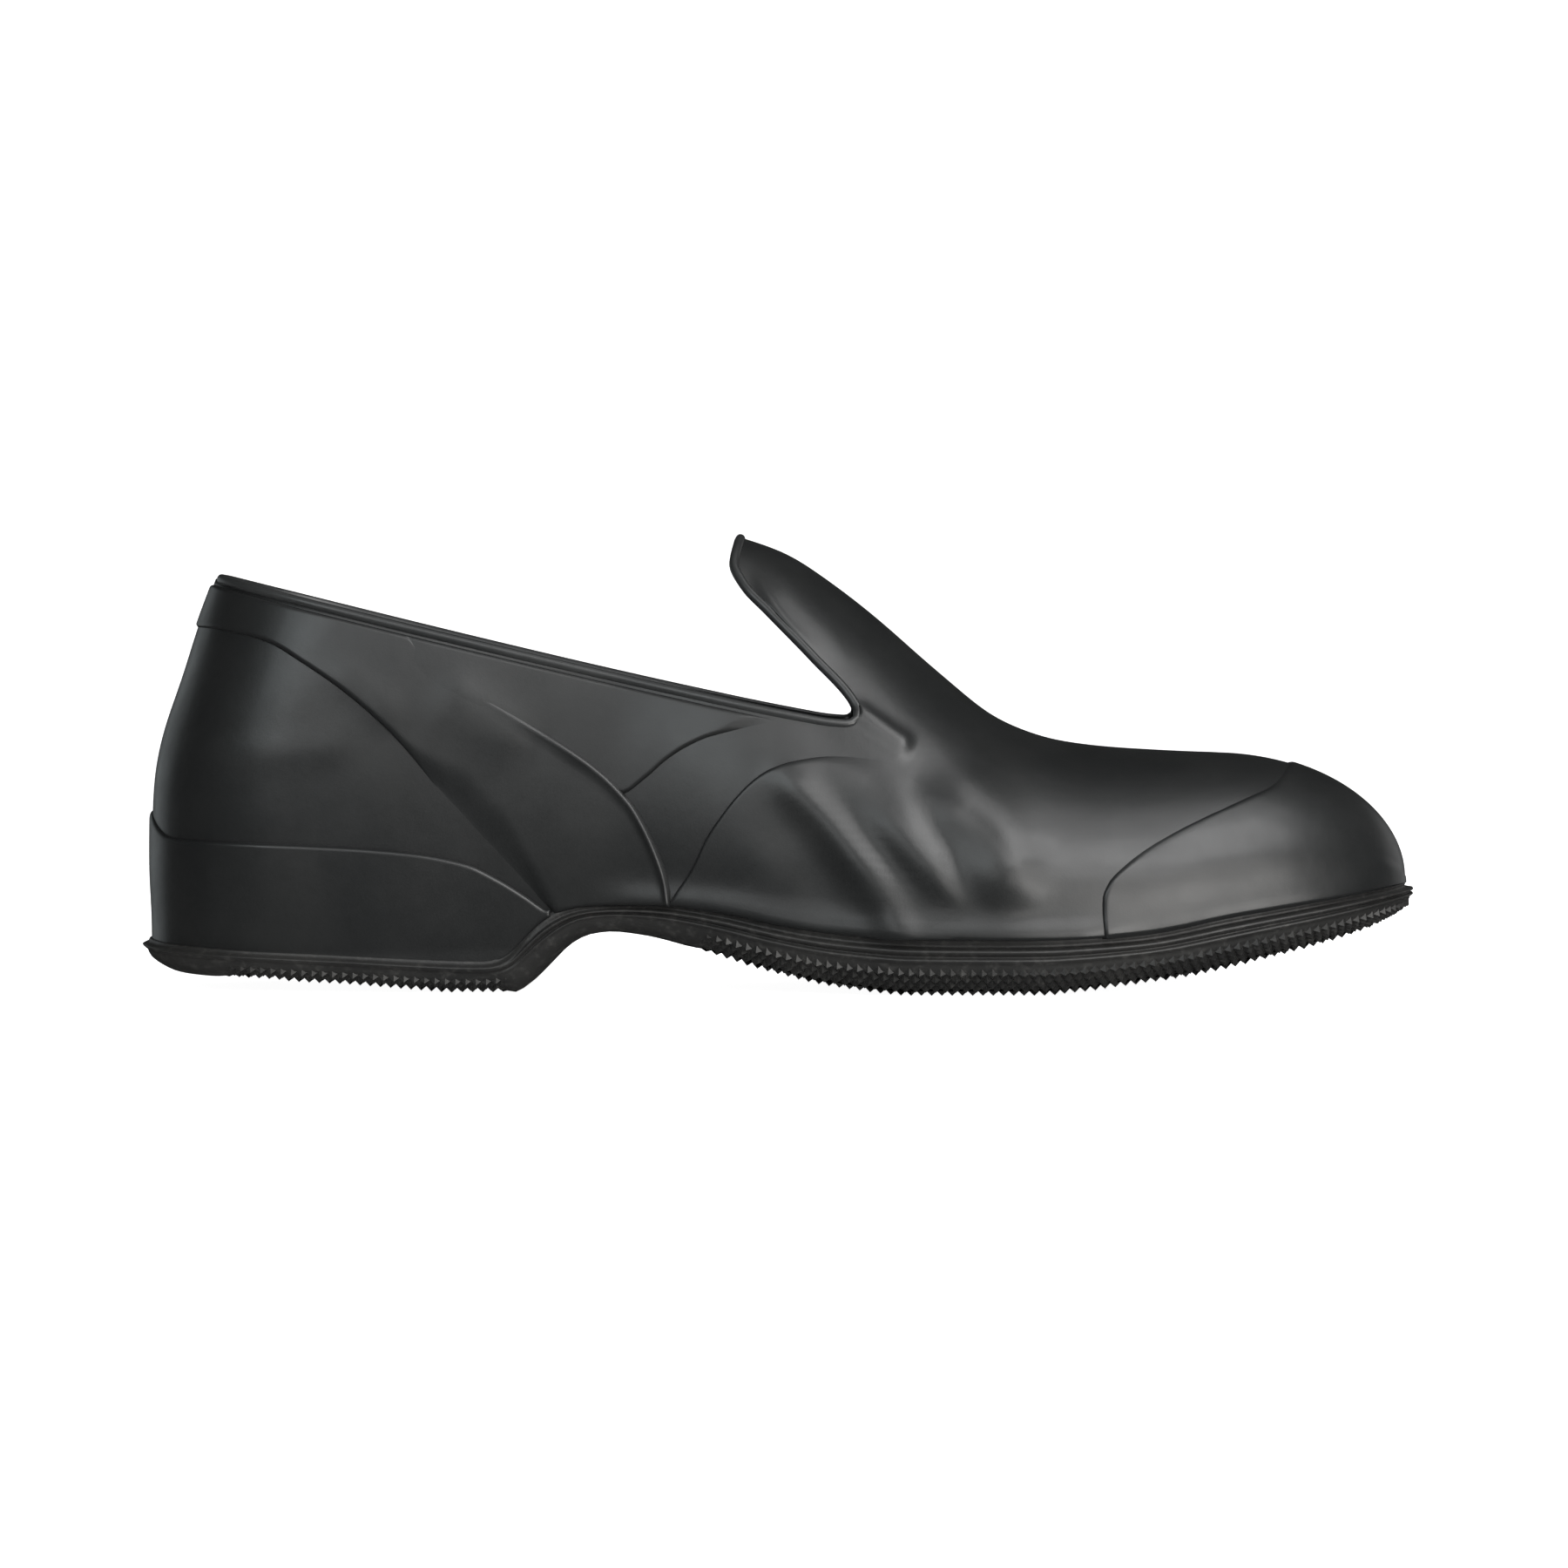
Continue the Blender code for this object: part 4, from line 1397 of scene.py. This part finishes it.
@dataclass
class Studio:
    """The pale seamless floor, the soft light and the camera at the photograph's angle."""

    floor_half: float = 4.5
    bend_start: float = 2.6
    bend_radius: float = 1.6
    bend_steps: int = 24
    floor_light: float = 0.96
    floor_colour: Colour = (0.8, 0.8, 0.8)
    room_light: float = 0.02
    lift: float = math.radians(1.5)
    distance: float = 1.6
    target: tuple[float, float, float] = (0.0005, 0.0, 0.0494)
    seen_width: float = 0.3848
    sensor: float = 36.0
    lamps: tuple[Lamp, ...] = (
        Lamp("key_box", (1.13, -1.13, 0.05), (0.8, 0.7), 13.0, WARM),
        Lamp("key_top_box", (1.05, -1.05, 0.65), (0.8, 0.5), 4.4, WARM),
        Lamp("low_right_box", (0.54, -1.48, 0.30), (0.5, 0.5), 2.2, WARM),
        Lamp("front_low_box", (-0.47, -1.45, 0.54), (0.8, 0.5), 2.0),
        Lamp("front_left_box", (-0.68, -1.18, 0.90), (0.8, 0.5), 4.0, COOL),
        Lamp("front_box", (-0.24, -1.13, 1.16), (0.8, 0.6), 2.2),
        Lamp("front_right_box", (0.53, -1.14, 1.04), (0.8, 0.6), 6.5),
        Lamp("right_top_box", (0.88, -0.61, 1.24), (0.8, 0.6), 8.5),
        Lamp("high_box", (0.68, -0.18, 1.49), (0.8, 0.6), 3.6),
        Lamp("ceiling_box", (0.00, 0.00, 1.65), (1.4, 1.4), 1.7),
        Lamp("back_right_box", (1.11, 1.15, 0.19), (0.9, 0.7), 0.9),
        Lamp("back_left_box", (-1.11, 1.15, 0.19), (0.9, 0.7), 1.0, COOL),
    )

    def build(self) -> None:
        """Builds the studio."""
        self.floor()
        for lamp in self.lamps:
            lamp.build()
        self.room()
        self.camera()

    def paper(self) -> bpy.types.Material:
        """A matt pale finish that shines a little by itself.

        Returns:
            The new material.
        """
        material = bpy.data.materials.new("studio_paper")
        material.use_nodes = True
        shader = material.node_tree.nodes["Principled BSDF"]
        shader.inputs["Base Color"].default_value = (*self.floor_colour, 1)
        shader.inputs["Roughness"].default_value = 0.9
        shader.inputs["Specular IOR Level"].default_value = 0.0
        shader.inputs["Emission Color"].default_value = (1, 1, 1, 1)
        shader.inputs["Emission Strength"].default_value = self.floor_light
        return material

    def profile(self) -> list[tuple[float, float]]:
        """The paper's line from the front along the floor and up behind.

        Returns:
            Its corners as places and heights in metres.
        """
        start, radius = self.bend_start, self.bend_radius
        turn = np.linspace(0, math.pi / 2, self.bend_steps + 1)
        bend = [(start + radius * math.sin(t), radius * (1 - math.cos(t))) for t in turn]
        return [(-self.floor_half, 0.0), (0.0, 0.0), *bend, (bend[-1][0], self.floor_half)]

    def floor(self) -> bpy.types.Object:
        """The sheet of paper that the overshoe stands on, curved up far behind it.

        Returns:
            The sheet's object.
        """
        line = self.profile()
        bm = bmesh.new()
        bmesh.ops.create_grid(bm, x_segments=1, y_segments=len(line) - 1, size=0.5)
        for vertex in bm.verts:
            place, height = line[round((vertex.co.y + 0.5) * (len(line) - 1))]
            vertex.co = (2 * self.floor_half * vertex.co.x, place, height)
        mesh = bpy.data.meshes.new("studio_floor")
        bm.to_mesh(mesh)
        bm.free()
        mesh.shade_smooth()
        mesh.materials.append(self.paper())
        sheet = bpy.data.objects.new("studio_floor", mesh)
        bpy.context.scene.collection.objects.link(sheet)
        sheet.visible_glossy = False
        return sheet

    def room(self) -> None:
        """The dim light of the room, with white where the camera looks past the floor."""
        world = bpy.data.worlds.new("studio_room")
        bpy.context.scene.world = world
        world.use_nodes = True
        tree = world.node_tree
        tree.nodes.clear()
        out = tree.nodes.new("ShaderNodeOutputWorld")
        mix = tree.nodes.new("ShaderNodeMixShader")
        dim = tree.nodes.new("ShaderNodeBackground")
        white = tree.nodes.new("ShaderNodeBackground")
        seen = tree.nodes.new("ShaderNodeLightPath")
        dim.inputs["Strength"].default_value = self.room_light
        white.inputs["Strength"].default_value = 1.0
        for node in (dim, white):
            node.inputs["Color"].default_value = (1, 1, 1, 1)
        tree.links.new(seen.outputs["Is Camera Ray"], mix.inputs["Fac"])
        tree.links.new(dim.outputs["Background"], mix.inputs[1])
        tree.links.new(white.outputs["Background"], mix.inputs[2])
        tree.links.new(mix.outputs["Shader"], out.inputs["Surface"])

    def camera(self) -> None:
        """The camera low beside the outer side of the foot, with a long lens."""
        data = bpy.data.cameras.new("photo_camera")
        data.sensor_width = self.sensor
        data.lens = self.sensor * self.distance / self.seen_width
        camera = bpy.data.objects.new("photo_camera", data)
        target = Vector(self.target)
        towards = Vector((0, math.cos(self.lift), -math.sin(self.lift)))
        camera.location = target - towards * self.distance
        camera.rotation_euler = towards.to_track_quat("-Z", "Y").to_euler()
        scene = bpy.context.scene
        scene.collection.objects.link(camera)
        scene.camera = camera
        scene.view_settings.view_transform = "Standard"


UPPER_RUBBER = Rubber(
    "upper_rubber_worn", dark=(0.0075, 0.0082, 0.0085), pale=(0.011, 0.0116, 0.0116), roughness=(0.35, 0.43),
    specular=0.5, grain=Pattern(0.55, 3.0, 0.6), grain_depth=0.02, wave=Pattern(9.0, 2.0, 0.5),
    wave_depth=0.10, dust=0.0, sheen=0.12,
)
# Paler than the wall's rubber, the bead's colour holds a painted highlight: the light that the round bead
# catches.
PAINTED_HIGHLIGHT_BEAD_RUBBER = Rubber(
    "bead_rubber_painted_highlight", dark=(0.016, 0.017, 0.0175), pale=(0.026, 0.027, 0.027), roughness=(0.32, 0.42),
    specular=0.5, grain=Pattern(0.55, 3.0, 0.6), grain_depth=0.02, wave=Pattern(6.0, 2.0, 0.5),
    wave_depth=0.06, dust=0.0, sheen=0.1,
)
SOLE_RUBBER = Rubber(
    "sole_rubber_worn", dark=(0.0115, 0.0115, 0.0113), pale=(0.019, 0.0186, 0.0175), roughness=(0.42, 0.54),
    specular=0.46, grain=Pattern(0.5, 3.0, 0.6), grain_depth=0.03, wave=Pattern(5.0, 2.0, 0.5),
    wave_depth=0.05, dust=0.35,
)

# The wall turns out over the sole along this line, on both sides of the foot.
FLARE_LINE = (
    (106, 20.8), (118, 22.2), (130, 22.0), (144, 20.4), (156, 17.8), (170, 15.7), (190, 14.4), (215, 14.2),
    (240, 15.1), (263, 19.0), (290, 23.0), (306, 25.2),
)
# In order: the folds over the ball of the foot, the pleat at the notch, the cover's swell, the hollows of
# heel and strap, the flare over the sole, and the groove and rib beside the cover's bead.
OUTER_CREASES = (
    Crease(Fold.TROUGH, ((146, 49), (153, 44), (158, 39), (162, 33), (165, 27), (168, 21), (171, 15)),
           0.8, 6.5),
    Crease(Fold.RIDGE, ((149, 54.5), (157.5, 50.5), (162, 46), (167.7, 40.2), (175.4, 30.2), (179.8, 23.4),
                        (184, 17), (189, 9)), 1.5, 4.4, 0.22),
    Crease(Fold.TROUGH, ((162, 51), (171, 43.5), (176, 38), (181, 33), (185, 29), (190, 24), (196, 18)),
           0.7, 3.2),
    Crease(Fold.RIDGE, ((174, 50), (181, 43.5), (184.5, 39), (188, 34), (191.5, 30), (195.5, 26), (201, 19)),
           1.1, 4.8),
    Crease(Fold.TROUGH, ((184, 52), (189, 46), (192, 40), (195.5, 35), (198, 29), (202, 24), (207, 18)),
           0.7, 3.4),
    Crease(Fold.RIDGE, ((188, 54), (195, 50), (200.5, 46), (205.5, 41), (208.5, 35), (210, 29), (212, 24),
                        (215, 18)), 1.9, 7.5, 0.32),
    Crease(Fold.RIDGE, ((171.5, 69.6), (174.5, 67.6), (179, 64.3), (183.5, 61.2), (188, 58.2)),
           1.15, 2.3, 0.2),
    Crease(Fold.RIDGE, ((149, 104), (155.5, 96), (163, 89), (170, 83), (175, 79)), 0.85, 6.5, 0.35),
    Crease(Fold.RIDGE, ((44, 81), (50, 77), (57, 71.5), (62, 66), (65, 61)), 0.5, 4.5, 0.35),
    Crease(Fold.RIDGE, ((70, 76), (79, 70), (89, 63.5), (98, 57)), 0.7, 6.5, 0.3),
    Crease(Fold.RIDGE, ((2, 57.5), (20, 57.5), (40, 58.5), (56, 61.5)), 0.35, 4.5, 0.2),
    Crease(Fold.RIDGE, FLARE_LINE, 1.3, 3.8, 0.1, 60),
    Crease(Fold.RIDGE, ((168, 15.6), (190, 14.2), (215, 14), (244, 15.6)), 1.3, 4.4, 0.25),
    Crease(Fold.TROUGH, ((170, 75), (164, 81), (157.5, 86), (152.3, 91), (149, 97), (148, 105)), 0.5, 1.3),
    Crease(Fold.RIDGE, ((170.5, 76), (167.8, 78), (161.9, 83.3), (157.3, 87.9), (153.1, 93.4), (150.5, 99),
                        (149.5, 106)), 0.55, 1.2),
)
# The photograph doesn't show this side: softer folds, the pleat, the rib by the bead and the flare.
INNER_CREASES = (
    Crease(Fold.RIDGE, ((149, 54.5), (158, 51), (167, 44), (174, 36), (181, 28), (187, 19)), 1.0, 4.4, 0.3),
    Crease(Fold.TROUGH, ((151, 50), (158, 43), (164, 35), (169, 27), (173, 18)), 0.8, 4.4),
    Crease(Fold.TROUGH, ((164, 52), (174, 45), (182, 37), (188, 29), (194, 20)), 0.8, 4.2),
    Crease(Fold.RIDGE, ((178, 51), (187, 44), (195, 35), (201, 26), (205, 19)), 0.7, 4.2),
    Crease(Fold.TROUGH, ((192, 52), (199, 44), (205, 35), (209, 26)), 0.7, 4.2),
    Crease(Fold.RIDGE, ((172, 69.5), (179, 64.5), (186, 61)), 0.9, 1.6, 0.3),
    Crease(Fold.TROUGH, ((174, 72.5), (180, 68.5), (187, 64)), 1.0, 1.6, 0.3),
    Crease(Fold.RIDGE, ((170, 76), (162, 83), (156, 89), (152, 95), (150, 105)), 0.5, 1.3),
    Crease(Fold.RIDGE, FLARE_LINE, 0.7, 3.8, 0.1, 60),
)

# The edges of the layers as rows of a place and a height, how far each stands off the wall, and how wide
# its soft edges are.
RAND_TOP = (
    (0, 46.5), (2.2, 42.6), (4.6, 39.4), (7.6, 37.4), (12, 36.7), (28, 36.3), (50, 35.4), (67, 34.0),
    (80, 31.4), (88, 27.6), (94.5, 23.6), (99, 20.4),
)
RAND_PROUD = ((0, 0.8), (14, 0.85), (34, 1.2), (100, 1.2))
STRAP_LOW = (
    (0, 88.5), (17, 87.6), (28, 85.6), (33, 83.9), (40, 79.8), (50, 73.0), (60, 64.6), (66, 58.4), (74, 48.4),
    (84, 37.0), (92, 28.6), (97, 23.6), (101, 19.8), (104, 16.5), (130, 8),
)
STRAP_HIGH = (
    (46, 115), (58, 98), (66, 86.5), (73, 79.5), (80, 74.4), (92, 67.0), (106, 58.4), (113, 53.2),
    (117.2, 49.2), (120.4, 45.6), (123.6, 40.4), (126, 35.4), (128, 30.2), (129.6, 24.5),
)
STRAP_LOW_RAMP = (
    (0, 0.9), (50, 0.9), (58, 1.2), (64, 2.0), (70, 4.0), (78, 8.0), (86, 9.0), (93, 6.0), (98, 2.5),
    (102, 0.9),
)
STRAP_PROUD = ((0, 0.7), (12, 0.75), (30, 1.1), (130, 1.15))
STRAP_SETTLE = ((42, 0.0), (62, 0.34), (84, 0.34), (98, 0.1), (106, 0.0))
STRAP_SETTLE_WIDTH = ((40, 14.0), (64, 12.0), (80, 8.0), (92, 4.0), (104, 2.0))
SHOULDER_LOW = (
    (40, 84.0), (60, 78.0), (80, 68.0), (92, 62.0), (104, 55.5), (110, 51.5), (114, 48.8), (117.5, 48.0),
    (123, 51.5), (128, 55.9), (133, 59.2), (139, 61.8), (150, 63.9), (162, 64.2), (168, 64.0),
)
SHOULDER_PROUD = ((40, 0.85), (120, 0.85), (136, 0.75), (150, 0.1), (160, -0.2))
SHOULDER_LOW_RAMP = ((40, 0.9), (118, 0.8), (134, 0.9), (144, 4.0), (158, 6.0))
VAMP_HIGH = (
    (126, 16.0), (128.6, 20.5), (131, 25.0), (134, 29.5), (136, 33.5), (138, 37.8), (141, 42.3),
    (144, 46.3), (147, 49.6), (150, 52.2), (153, 54.0), (159, 56.0), (167, 57.2), (176, 57.4), (190, 54.0),
    (200, 50.0),
)
VAMP_HIGH_RAMP = ((128, 0.8), (148, 0.9), (158, 1.4), (168, 3.0), (182, 7.0), (200, 9.0))
VAMP_PROUD = (
    (128, 0.7), (150, 0.7), (160, 0.55), (170, 0.35), (180, 0.16), (188, 0.04), (194, -0.02), (200, -0.04),
)


def main() -> None:
    """Builds the overshoe's pieces and the studio round them."""
    logging.basicConfig(level=logging.INFO, format="%(message)s")
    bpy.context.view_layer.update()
    last, relief = Last(), Relief(OUTER_CREASES, INNER_CREASES)
    body = (last, relief, UPPER_RUBBER)
    sole = Sole(last, relief, SOLE_RUBBER)
    pieces = (
        Wall(*body),
        Band(*body, "heel_band", ((0, 5.0), (110, 5.0)), RAND_TOP, start=0.0, end=98.4, proud=RAND_PROUD,
             nodes=("heel_rand",)),
        Band(*body, "vamp_layer", ((120, 0.0), (210, 0.0)), VAMP_HIGH, start=126.4, end=198.0,
             proud=VAMP_PROUD, high_ramp=VAMP_HIGH_RAMP),
        Band(*body, "shoulder_layer", SHOULDER_LOW, ((40, 120), (170, 120)), start=40.0, end=160.0,
             proud=SHOULDER_PROUD, low_ramp=SHOULDER_LOW_RAMP, start_ramp=18.0, end_ramp=6.0),
        Band(*body, "swept_strap", STRAP_LOW, STRAP_HIGH, start=0.0, end=127.6, proud=STRAP_PROUD,
             nodes=("quarter_strap",), low_ramp=STRAP_LOW_RAMP, rib=0.5, rib_grows=(72, 104),
             settle=STRAP_SETTLE, settle_width=STRAP_SETTLE_WIDTH),
        ToeCap(*body),
        CollarBead(last, relief, PAINTED_HIGHLIGHT_BEAD_RUBBER),
        sole,
        Tread(last, relief, SOLE_RUBBER, sole),
    )
    for piece in pieces:
        made = piece.build()
        log.info("%s: %d faces", made.name, len(made.data.polygons))
    Studio().build()


if __name__ == "__main__":
    main()
